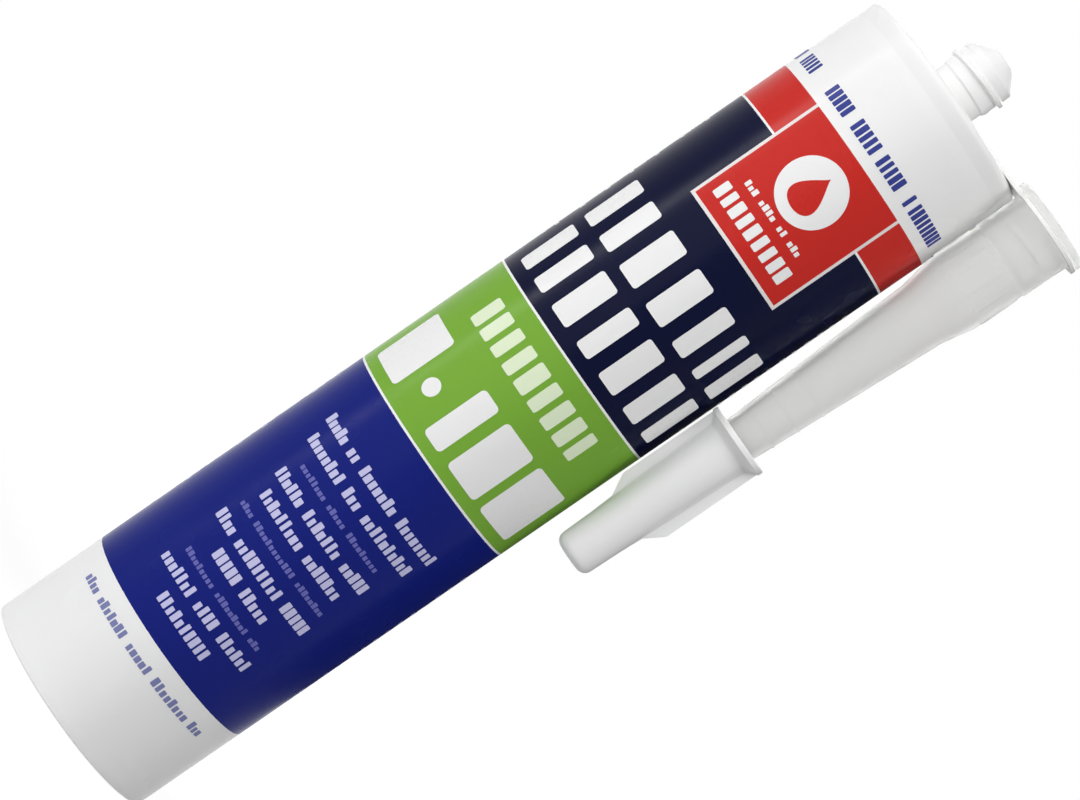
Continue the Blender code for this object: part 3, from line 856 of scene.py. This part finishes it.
def spaced(widths, reach):
    """Places for blocks of these widths, with even gaps, over a reach either side."""
    gap = (2 * reach - sum(widths)) / (len(widths) - 1)
    left, blocks = -reach, []
    for width in widths:
        blocks.append((left + width / 2, width))
        left += width + gap
    return blocks


def disc(bm, across, up, radius, steps=48):
    angles = [pi * i / steps for i in range(steps + 1)]
    strip(bm, [(across - radius * cos(a), up - radius * sin(a), up + radius * sin(a)) for a in angles])


def drop(bm, across, up, height, steps=32, samples=400):
    """A drop, pointed at the top and round at the foot."""
    turns = [pi * k / samples for k in range(samples + 1)]
    outline = [(0.36 * height * sin(t) * sin(t / 2) ** 1.5 * 1.45, height / 2 * cos(t)) for t in turns]
    widest = max(side for side, rise in outline)
    columns = []
    for i in range(steps + 1):
        x = -widest * cos(pi * i / steps)
        reach = min(abs(x), widest)
        top = next(rise for side, rise in outline if side >= reach - 1e-9)
        foot = next(rise for side, rise in reversed(outline) if side >= reach - 1e-9)
        columns.append((across + x, up + foot, up + top))
    strip(bm, columns)


# %% Films of ink
def film(name, meshes, ink):
    """Joins printed meshes into one piece and gives the ink its thickness. The rim of
    each mark is kept as a hard edge, so that the ink lies flat."""
    bm = bmesh.new()
    for mesh in meshes:
        bm.from_mesh(mesh)
    for edge in bm.edges:
        edge.smooth = not edge.is_boundary
    obj = piece(name, bm, sharp=None)
    # The faces bring the material indices of the meshes joined here, and clearing the
    # slots sets them all to 0.
    obj.data.materials.clear()
    obj.data.materials.append(ink)
    solid = obj.modifiers.new("ink_film", "SOLIDIFY")
    solid.thickness = FILM * MM
    solid.offset = -1
    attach(obj, "cartridge")
    return obj


# %% Marks on the front
HEADING_REACH = 28.5
UPPER_HEADING = spaced([5.6, 4.9, 5.9, 5.7, 4.4, 2.9, 5.4], HEADING_REACH)
LOWER_HEADING = spaced([5.2, 4.4, 5.7, 4.2, 5.7, 5.4, 5.2], HEADING_REACH)
FIGURE_BLOCKS = [(-24.0, 12.6), (-2.7, 5.4), (7.6, 9.6), (21.4, 13.4)]
TOP_GROUPS = [
    (-30.6, -23.5), (-16.7, -9.4), (-7.1, 0.1), (1.5, 9.1), (11.9, 13.1), (14.2, 27.8),
    (34.0, 44.5), (47.0, 58.0), (62.0, 68.5), (71.0, 78.5),
    (-41.5, -34.5), (-54.0, -44.0), (-65.5, -57.0),
]
EMBLEM_ACROSS, EMBLEM_UP = -0.5, 183.9
PANEL_ACROSS = -0.7
LINES_ACROSS = -0.6

white_marks = [
    large(WHITE_INK, UPPER_HEADING, 150.5, 13.0, 0.7),
    large(WHITE_INK, LOWER_HEADING, 134.8, 12.8, 0.7),
    large(WHITE_INK, FIGURE_BLOCKS, 100.9, 15.0, 1.0),
    wrapped(WHITE_INK, lambda bm: disc(bm, -12.2, 99.6, 2.1)),
    wrapped(WHITE_INK, lambda bm: disc(bm, EMBLEM_ACROSS, EMBLEM_UP, 7.5)),
    row(WHITE_INK, 169.8, 9, 2.7, 3.9, across=PANEL_ACROSS, least=0.60, most=0.80, seed=4),
    *groups(WHITE_INK, 174.7, (3, 4, 2, 3), 1.25, 1.5, across=PANEL_ACROSS, seed=41),
]
pale_marks = [row(PALE_INK, 117.2, 9, 4.5, 7.3, across=-1.6, least=0.62, most=0.80, seed=7)]

# Height, lengths of the groups, and seed of each line
LAVENDER_LINES = [
    (79.3, (5, 2, 7, 8), 3), (74.1, (8, 3, 10), 5), (65.0, (6, 7, 5), 8), (60.0, (9, 7), 9),
    (50.5, (4, 9, 5), 12), (45.6, (5, 5), 14), (36.7, (7, 4, 6), 17), (31.6, (10,), 19),
]
FAINT_LINES = [(69.4, (8, 5, 9), 21), (55.3, (4, 12, 8), 22), (41.0, (9, 9, 3), 23)]
lavender_marks = []
for height, lengths, seed in LAVENDER_LINES:
    lavender_marks += groups(LAVENDER_INK, height, lengths, 1.62, 2.7, across=LINES_ACROSS, seed=seed)
faint_marks = []
for height, lengths, seed in FAINT_LINES:
    faint_marks += groups(FAINT_INK, height, lengths, 1.15, 1.4, across=LINES_ACROSS, seed=seed)
blue_marks = stretches(BLUE_INK, 199.05, TOP_GROUPS, 1.5, 3.3, seed=31)
red_marks = [wrapped(RED_INK, lambda bm: drop(bm, EMBLEM_ACROSS, EMBLEM_UP - 0.2, 9.6), OVERPRINT_TOP)]
grey_marks = groups(GREY_INK, 20.6, (4, 7, 5, 8, 3), 1.47, 2.1, across=-0.3, seed=61)

# %% [markdown]
# The back of such a barrel holds the directions for use, in columns of small lines.

# %% Directions on the back
COLUMN_LEFT, COLUMN_RIGHT = -50.0, 50.0
BLUE_LINES_TOP, NAVY_LINES_TOP = 84.5, 176.0
BACK_PITCH = 3.1
BACK_MARKS = 24
BACK_MARK_PITCH, BACK_MARK_HEIGHT = 1.25, 1.4


def back_line(ink, column, up, share, seed):
    """One small line that starts at the left edge of its column."""
    count = round(BACK_MARKS * share)
    across = column - (BACK_MARKS - count) * BACK_MARK_PITCH / 2
    return row(
        ink, up, count, BACK_MARK_PITCH, BACK_MARK_HEIGHT,
        across=across, gaps=0.13, short=0.55, seed=seed,
    )


for column, seed in ((COLUMN_LEFT, 50), (COLUMN_RIGHT, 90)):
    for i in range(16):
        share = 0.5 if i % 5 == 4 else 0.92 if i % 2 else 1.0
        up = BLUE_LINES_TOP - BACK_PITCH * i
        lavender_marks.append(back_line(LAVENDER_INK, column, up, share, seed + i))
    for i in range(14):
        share = 0.6 if i % 4 == 3 else 0.94 if i % 2 else 1.0
        up = NAVY_LINES_TOP - BACK_PITCH * i
        white_marks.append(back_line(WHITE_INK, column, up, share, seed + 20 + i))

films = [
    film("white_print", white_marks, WHITE_INK),
    film("pale_print", pale_marks, PALE_INK),
    film("lavender_print", lavender_marks, LAVENDER_INK),
    film("faint_print", faint_marks, FAINT_INK),
    film("blue_print", blue_marks, BLUE_INK),
    film("grey_print", grey_marks, GREY_INK),
    film("red_drop", red_marks, RED_INK),
]
print("print faces:", sum(len(f.data.polygons) for f in films))

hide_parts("barrel")
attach(barrel, "cartridge")

# %% [markdown]
# ## The nozzle
# Moulded in natural polyethylene, which is polyethylene with no white in it: cloudy,
# greyish, and brighter where light comes through its thin wall. It is measured from
# its mouth, as if screwed on, and hangs mouth up, so heights run down from the mouth.
# Twelve low ribs on the collar give fingers a hold, and fine rings lower down are the
# marks where the user cuts it. Ribs could be added as bars. Here they are swells of the
# turned skin, as the thread is, and the rings are steps of its section.

# %% Sizes of the nozzle
SOCKET = CORE + THREAD_DEPTH + GAP
SOCKET_DEPTH = 11.8
SKIRT = SOCKET + 0.9
COLLAR = 8.40
COLLAR_FOOT = 13.25
COLLAR_TOP = 25.0
TAPER_FOOT = 32.0
TAPER = 7.1
NOZZLE_LENGTH = 117.3
NOZZLE_TIP = 2.75
NOZZLE_WALL = 1.1
RIB_LOW, RIB_HIGH = 14.25, 23.8
RIB_COUNT = 12
RIB_DEPTH = 0.25
RIB_SHARE = 0.52
RIB_FLANK = 0.07
RIB_RUN_OUT = 0.6
CUT_RINGS = (60.0, 66.0, 72.0)
SOCKET_RIDGE_START = 4.85
NOZZLE_STEPS = 144
print(f"socket {2 * SOCKET:.1f} mm across")


# %% Nozzle
def taper_at(height):
    share = (height - TAPER_FOOT) / (NOZZLE_LENGTH - TAPER_FOOT)
    return TAPER + (NOZZLE_TIP - TAPER) * share


def nozzle_swell(r, z, angle):
    if r == SOCKET:
        return r - THREAD_DEPTH * ridge(z - SOCKET_RIDGE_START, angle)
    if abs(r - COLLAR) < 0.01 and RIB_LOW <= z <= RIB_HIGH:
        across = (angle * RIB_COUNT / (2 * pi)) % 1
        side = smooth_step(min(across, RIB_SHARE - across) / RIB_FLANK) if across < RIB_SHARE else 0
        end = smooth_step(min(z - RIB_LOW, RIB_HIGH - z) / RIB_RUN_OUT)
        return r + RIB_DEPTH * side * end
    return r


rib_ends = [0, 0.15, 0.3, 0.45, 0.6, 1.0]
rib_rows = [RIB_LOW + e for e in rib_ends] + [RIB_HIGH - e for e in reversed(rib_ends)]
ring_rows = []
for z in CUT_RINGS:
    for step, lift in ((-0.35, 0), (-0.2, 0.06), (-0.1, 0.12), (0.1, 0.12), (0.2, 0.06), (0.35, 0)):
        ring_rows.append((taper_at(z + step) + lift, z + step, 0))

nozzle_section = rounded([
    (SOCKET + 0.1, 0.15, 0),
    (SOCKET + 0.4, 0, 0),
    (FLANGE_RADIUS, 0, 0.35),
    (FLANGE_RADIUS, 1.6, 0.30),
    (SKIRT, 1.6, 0.25),
    (SKIRT - 0.12, 12.9, 0.12),
    (COLLAR, COLLAR_FOOT, 0.12),
    *[(COLLAR, z, 0) for z in rib_rows],
    (COLLAR, COLLAR_TOP, 1.5),
    (TAPER, TAPER_FOOT, 6.0),
    (taper_at(45), 45, 0),
    *ring_rows,
    (taper_at(95), 95, 0),
    (NOZZLE_TIP, NOZZLE_LENGTH, 0.3),
    (NOZZLE_TIP - NOZZLE_WALL, NOZZLE_LENGTH, 0.2),
    (TAPER - NOZZLE_WALL, TAPER_FOOT - 0.5, 4.0),
    (COLLAR - NOZZLE_WALL, COLLAR_TOP - 0.5, 1.5),
    (COLLAR - NOZZLE_WALL, SOCKET_DEPTH + 0.6, 0.2),
    (SOCKET, SOCKET_DEPTH, 0),
    *rows(SOCKET, SOCKET_DEPTH - 0.1, 0.5),
    (SOCKET + 0.1, 0.15, 0),
])[:-1]
nozzle = turned(
    "nozzle_body", nozzle_section, [-a for a in even_angles(NOZZLE_STEPS)], NOZZLE_X, MOUTH,
    hangs=True, swell=lambda r, z, angle: nozzle_swell(r, z, -angle % (2 * pi)),
)
print("nozzle faces:", len(nozzle.data.polygons))


# %% Natural polyethylene
def natural_polyethylene():
    """Unpigmented polyethylene: cloudy, with light that passes and spreads in it. Its
    haze hides how its walls bend light, so the IOR is set well below the solid's 1.51."""
    material = moulded("natural_polyethylene", "#E4E4E3", 0.60, 0.40, glow_radius_mm=5.0)
    shader = material.node_tree.nodes["Principled BSDF"]
    shader.inputs["Transmission Weight"].default_value = 0.85
    shader.inputs["IOR"].default_value = 1.15
    return material


nozzle.data.materials.append(natural_polyethylene())
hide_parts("nozzle")
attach(nozzle, "nozzle")

# %% [markdown]
# ## The cap
# A small white moulding pushed on to the nozzle's tip, with a collar at its mouth and
# two flat wings to grip. Wings could be cut from plates and joined on. Here they are
# part of the turned skin: at each angle the radius is that of the wing's flat side
# until it meets the round core, and the two are blended, which gives the small fillet
# that a mould has there. The angles lie closer together across each wing.

# %% Sizes of the cap
CAP_REACH = 42.3
CAP_WALL = 0.9
CAP_END_WALL = 1.3
CAP_SEAT = NOZZLE_LENGTH - CAP_REACH + CAP_END_WALL + GAP
CAP_MOUTH = taper_at(CAP_SEAT) + GAP
CAP_CORE = CAP_MOUTH + CAP_WALL
CAP_END = CAP_CORE - 1.2
CAP_COLLAR = CAP_CORE + 2.1
COLLAR_HEIGHT = 3.0
LIP_HEIGHT = 1.3
WING_HALF = 0.6
WING_LENGTH = 23.5
WING_SLANT = 4.5
WING_REACH = CAP_COLLAR - 0.3
WING_TURN = radians(15)
WING_FILLET = 0.35
CONE_TOP = COLLAR_HEIGHT + 0.2
CAP_DRAFT_TOP = CAP_REACH - 0.45 * CAP_END
print(f"cap mouth {2 * CAP_MOUTH:.1f} mm across")


# %% Cap
def core_at(height):
    share = (height - COLLAR_HEIGHT) / (CAP_DRAFT_TOP - COLLAR_HEIGHT)
    return CAP_CORE + (CAP_END - CAP_CORE) * share


def cone_at(height):
    """Radius of the hollow cone between the lip and the core."""
    share = (CONE_TOP - height) / (CONE_TOP - LIP_HEIGHT)
    return CAP_CORE + (WING_REACH - CAP_CORE) * share ** 1.6


def cap_swell(r, z, angle):
    if not (LIP_HEIGHT + 0.15 < z < WING_LENGTH + WING_SLANT) or r < core_at(z) - 0.2:
        return r
    reach = WING_REACH
    if z > WING_LENGTH:
        reach += (core_at(z) - WING_REACH) * (z - WING_LENGTH) / WING_SLANT
    sideways = abs(sin(angle))
    wing = min(reach, WING_HALF / sideways) if sideways > 0.01 else reach
    blend = max(0, WING_FILLET - abs(wing - r)) / WING_FILLET
    return max(wing, r) + blend * blend * WING_FILLET / 4


def cap_angles():
    """Angles round the cap, close together across each wing's two flat sides."""
    tip = degrees(asin(WING_HALF / WING_REACH))
    foot = degrees(asin(WING_HALF / CAP_END))
    near = [tip * k / 4 for k in range(1, 4)]
    side = [tip + (foot - tip) * (k / 10) ** 1.2 for k in range(11)]
    far = [foot + (90 - foot) * (k / 22) ** 1.25 for k in range(1, 23)]
    quarter = [0, *near, *side, *far]
    half = quarter + [180 - a for a in reversed(quarter[:-1])]
    return [radians(a) for a in half + [360 - a for a in reversed(half[1:-1])]]


wing_rows = [3.5, 4.2, 6, 10, 15, 20, 23.0, 23.4, 23.6, 24.2, 25.0, 26.0, 27.0, 27.6, 27.95]
cap_section = rounded([
    (0, CAP_REACH, 0),
    (CAP_END, CAP_REACH, 2.1),
    (core_at(33), 33, 0),
    *[(core_at(z), z, 0) for z in reversed(wing_rows)],
    *[(cone_at(z), z, 0) for z in (3.15, 3.0, 2.7, 2.3, 1.9, 1.6)],
    (CAP_COLLAR - 0.25, LIP_HEIGHT, 0.12),
    (CAP_COLLAR, LIP_HEIGHT - 0.1, 0.1),
    (CAP_COLLAR, 0, 0.35),
    (CAP_MOUTH, 0, 0.30),
    (CAP_MOUTH, COLLAR_HEIGHT, 0.5),
    (CAP_END - CAP_WALL, CAP_DRAFT_TOP, 1.0),
    (CAP_END - 1.5 * CAP_WALL, CAP_REACH - CAP_END_WALL, 0.3),
    (0, CAP_REACH - CAP_END_WALL, 0),
])
cap = turned(
    "cap_body", cap_section, [WING_TURN - a for a in cap_angles()], NOZZLE_X, MOUTH - CAP_SEAT,
    hangs=True, swell=lambda r, z, angle: cap_swell(r, z, WING_TURN - angle), loop=False,
)
cap.data.materials.append(moulded("cap_polyethylene", "#F1F1F1", 0.34, 0.20))
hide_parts("nozzle_cap")
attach(cap, "cap")
print("cap faces:", len(cap.data.polygons))

# %% [markdown]
# ## The tag that carries the nozzle
# A flat moulding under a millimetre thick: a ring whose fingers sprang over the neck,
# an arm, and an eye for the nozzle's skirt. It could be cut from a plate. Its outline of
# arcs and straights, filled, given its thickness and beveled as a mould leaves it, is
# simpler, and every size stays a named value.

# %% Sizes of the tag
TAG_LOW = SHOULDER + GAP
TAG_THICK = 0.8
RING_HOLE = ROOT + GAP
RING_RADIUS = RING_HOLE + 5.5
EYE_HOLE = SKIRT + GAP
EYE_RADIUS = EYE_HOLE + 1.35
ARM_HALF = 6.0
ARM_FILLET = 4.0
SLITS = 6
SLIT_HALF = 0.4
FINGER_LENGTH = 2.8
OFFSET = NOZZLE_X - BARREL_X
EYE_STEPS = 96
MOULDED_EDGE = 0.12
print(f"ring hole {2 * RING_HOLE:.1f} mm, eye {2 * EYE_HOLE:.1f} mm")


# %% Outline of the tag
def arc(cx, cy, radius, start, end, steps):
    """Points of an arc in plan, angles in degrees."""
    turns = [radians(start + (end - start) * i / steps) for i in range(steps + 1)]
    return [(cx + radius * cos(a), cy + radius * sin(a)) for a in turns]


def tag_outline():
    reach = ARM_HALF + ARM_FILLET
    ring_x = sqrt((RING_RADIUS + ARM_FILLET) ** 2 - reach ** 2)
    eye_x = OFFSET - sqrt((EYE_RADIUS + ARM_FILLET) ** 2 - reach ** 2)
    ring_end = degrees(atan2(reach, ring_x))
    eye_end = degrees(atan2(reach, OFFSET - eye_x))
    upper = arc(0, 0, RING_RADIUS, 180, ring_end, 40)
    upper += arc(ring_x, reach, ARM_FILLET, ring_end + 180, 270, 10)
    upper += arc(eye_x, reach, ARM_FILLET, 270, 360 - eye_end, 10)
    upper += arc(OFFSET, 0, EYE_RADIUS, 180 - eye_end, 0, 40)
    return upper + [(x, -y) for x, y in reversed(upper[1:-1])]


def finger_hole():
    near = degrees(asin(SLIT_HALF / RING_HOLE))
    slit_end = RING_HOLE + FINGER_LENGTH
    far = degrees(asin(SLIT_HALF / slit_end))
    pitch = 360 / SLITS
    points = []
    for i in range(SLITS):
        middle = pitch * (i + 0.5)
        points += arc(0, 0, slit_end, middle - far, middle + far, 2)
        points += arc(0, 0, RING_HOLE, middle + near, middle + pitch - near, 14)
    return points


# %% Carrier tag
def make_tag():
    bm = bmesh.new()
    eye = arc(OFFSET, 0, EYE_HOLE, 0, 360 - 360 / EYE_STEPS, EYE_STEPS - 1)
    for outline in (tag_outline(), finger_hole(), eye):
        verts = [bm.verts.new(((BARREL_X + x) * MM, y * MM, TAG_LOW * MM)) for x, y in outline]
        for i, vert in enumerate(verts):
            bm.edges.new((verts[i - 1], vert))
    bmesh.ops.triangle_fill(bm, use_beauty=True, edges=bm.edges)
    grown = bmesh.ops.extrude_face_region(bm, geom=bm.faces[:])
    lifted = [v for v in grown["geom"] if isinstance(v, bmesh.types.BMVert)]
    bmesh.ops.translate(bm, verts=lifted, vec=(0, 0, TAG_THICK * MM))
    bmesh.ops.recalc_face_normals(bm, faces=bm.faces)
    flat = [f for f in bm.faces if abs(f.normal.z) > 0.9]
    bmesh.ops.dissolve_limit(
        bm, angle_limit=radians(1), verts=list({v for f in flat for v in f.verts}),
        edges=list({e for f in flat for e in f.edges}), delimit={"NORMAL"},
    )
    tag = piece("carrier_tag", bm)
    bevel = tag.modifiers.new("moulded_edge", "BEVEL")
    bevel.width = MOULDED_EDGE * MM
    bevel.segments = 2
    bevel.limit_method = "ANGLE"
    bevel.angle_limit = radians(50)
    return tag


tag = make_tag()
tag.data.materials.append(moulded("tag_polyethylene", "#EEEEEC", 0.38, 0.20))
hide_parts("nozzle_carrier")
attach(tag, "cartridge")
print("tag faces:", len(tag.data.polygons))

# %% [markdown]
# ## The piston
# A thin cup with a sealing lip at each end. From below one sees its crown with a boss
# and eight ribs, where the gun's plate pushes. The cup is turned. The ribs could be
# copied by hand, but Geometry Nodes repeat one rib round a circle, so that their number
# is one input.

# %% Cup of the piston
PISTON_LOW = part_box("piston")[0].z / MM
PISTON_RADIUS = BORE - GAP
WAIST = PISTON_RADIUS - 0.5
CUP = WAIST - 1.2
PISTON_HIGH = 18.0
CROWN_UNDER = PISTON_HIGH - 1.6
BOSS = 7.5
BOSS_UNDER = CROWN_UNDER - 1.3
PISTON_STEPS = 144

piston = turned("piston_body", rounded([
    (0, PISTON_HIGH, 0),
    (WAIST - 1.2, PISTON_HIGH, 0.3),
    (PISTON_RADIUS, PISTON_HIGH - 0.6, 0.3),
    (PISTON_RADIUS, PISTON_HIGH - 2.6, 0.3),
    (WAIST, PISTON_HIGH - 3.6, 0.5),
    (WAIST, 3.6, 0.5),
    (PISTON_RADIUS, 2.6, 0.3),
    (PISTON_RADIUS, 0.6, 0.2),
    (WAIST, 0, 0.2),
    (CUP, 0, 0.3),
    (CUP, CROWN_UNDER - 1.2, 0.6),
    (CUP - 1.2, CROWN_UNDER, 0.6),
    (BOSS, CROWN_UNDER, 0.3),
    (BOSS, BOSS_UNDER, 0.3),
    (0, BOSS_UNDER, 0),
]), even_angles(PISTON_STEPS), BARREL_X, PISTON_LOW, loop=False)
print("faces of the cup:", len(piston.data.polygons))


# %% A tree for ribs round an axis
def rib_tree():
    """Stands the incoming rib at even turns round an upright axis."""
    tree, given = new_tree("ribs_round_axis", {
        "Count": "Int", "Radius": "Float", "Centre": "Vector", "Plastic": "Material",
    })
    circle = add(tree, "GeometryNodeMeshCircle", {"Vertices": given["Count"], "Radius": given["Radius"]})
    turn = add(tree, "FunctionNodeAlignRotationToVector", {
        "Vector": add(tree, "GeometryNodeInputPosition"),
    }, axis="X", pivot_axis="Z")
    ribs = add(tree, "GeometryNodeInstanceOnPoints", {
        "Points": circle, "Instance": given["Geometry"], "Rotation": turn,
    })
    moved = add(tree, "GeometryNodeTransform", {"Geometry": ribs, "Translation": given["Centre"]})
    return ended(tree, moved, given["Plastic"])


def rib_mesh(length, width, height):
    """One rib with soft edges, along x."""
    bm = bmesh.new()
    bmesh.ops.create_cube(bm, size=1)
    bmesh.ops.scale(bm, vec=(length * MM, width * MM, height * MM), verts=bm.verts)
    bmesh.ops.bevel(bm, geom=bm.edges[:], offset=0.2 * MM, segments=2, affect="EDGES")
    return as_mesh("rib", bm)


# %% Ribs of the piston
PISTON_RIBS = 8
PISTON_RIB_WIDTH, PISTON_RIB_HEIGHT = 1.0, 1.6
PISTON_RIB_LIFT = 0.93
RIB_BITE = 0.4

PISTON_PLASTIC = moulded("piston_polyethylene", "#E6E6E2", 0.42, 0.25)
piston.data.materials.append(PISTON_PLASTIC)
rib = rib_mesh(CUP - BOSS + 2 * RIB_BITE, PISTON_RIB_WIDTH, PISTON_RIB_HEIGHT)
rib_object = placed("ribs", run(rib, [(rib_tree(), {
    "Count": PISTON_RIBS, "Radius": (CUP + BOSS) / 2 * MM,
    "Centre": (BARREL_X * MM, 0, (PISTON_LOW + BOSS_UNDER + PISTON_RIB_LIFT) * MM),
    "Plastic": PISTON_PLASTIC,
})]))
union = piston.modifiers.new("ribs", "BOOLEAN")
union.operation = "UNION"
union.object = rib_object
joined = result_of(piston)
piston.modifiers.clear()
bpy.data.objects.remove(rib_object)
piston.data = joined
joined.shade_smooth()
joined.set_sharp_from_angle(angle=EDGE_ANGLE)
joined.materials.clear()
joined.materials.append(PISTON_PLASTIC)
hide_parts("piston")
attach(piston, "piston")
print("piston faces:", len(piston.data.polygons))

# %% [markdown]
# ## The sealant
# White acrylic paste fills the barrel from the piston to the closed tip. It can't be
# seen, but it is there when the part is taken to bits, so a plain turned column does.
# It gets shorter as the piston rises.

# %% Sealant
PASTE_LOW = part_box("sealant")[0].z / MM
PASTE_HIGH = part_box("sealant")[1].z / MM
PASTE_HEAD = SHOULDER - SHOULDER_WALL - GAP
PASTE_RADIUS = BORE - GAP
PASTE_NECK = NECK_BORE - GAP
PASTE_STEPS = 96
paste = turned("paste_column", rounded([
    (0, PASTE_LOW, 0),
    (PASTE_RADIUS, PASTE_LOW, 0.4),
    (PASTE_RADIUS, PASTE_HEAD, 1.4),
    (PASTE_NECK, PASTE_HEAD, 0.3),
    (PASTE_NECK, PASTE_HIGH, 0.6),
    (0, PASTE_HIGH, 0),
]), even_angles(PASTE_STEPS), BARREL_X, loop=False)
print("paste faces:", len(paste.data.polygons))

# Smooth filler paste: white, softly glossy, with faint swirls from the filling
paste.data.materials.append(moulded("acrylic_paste", "#EFEFEA", 0.30, 0.25, grain_mm=1.5, wave_mm=7))
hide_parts("sealant")
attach(paste, "cartridge")
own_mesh(paste)
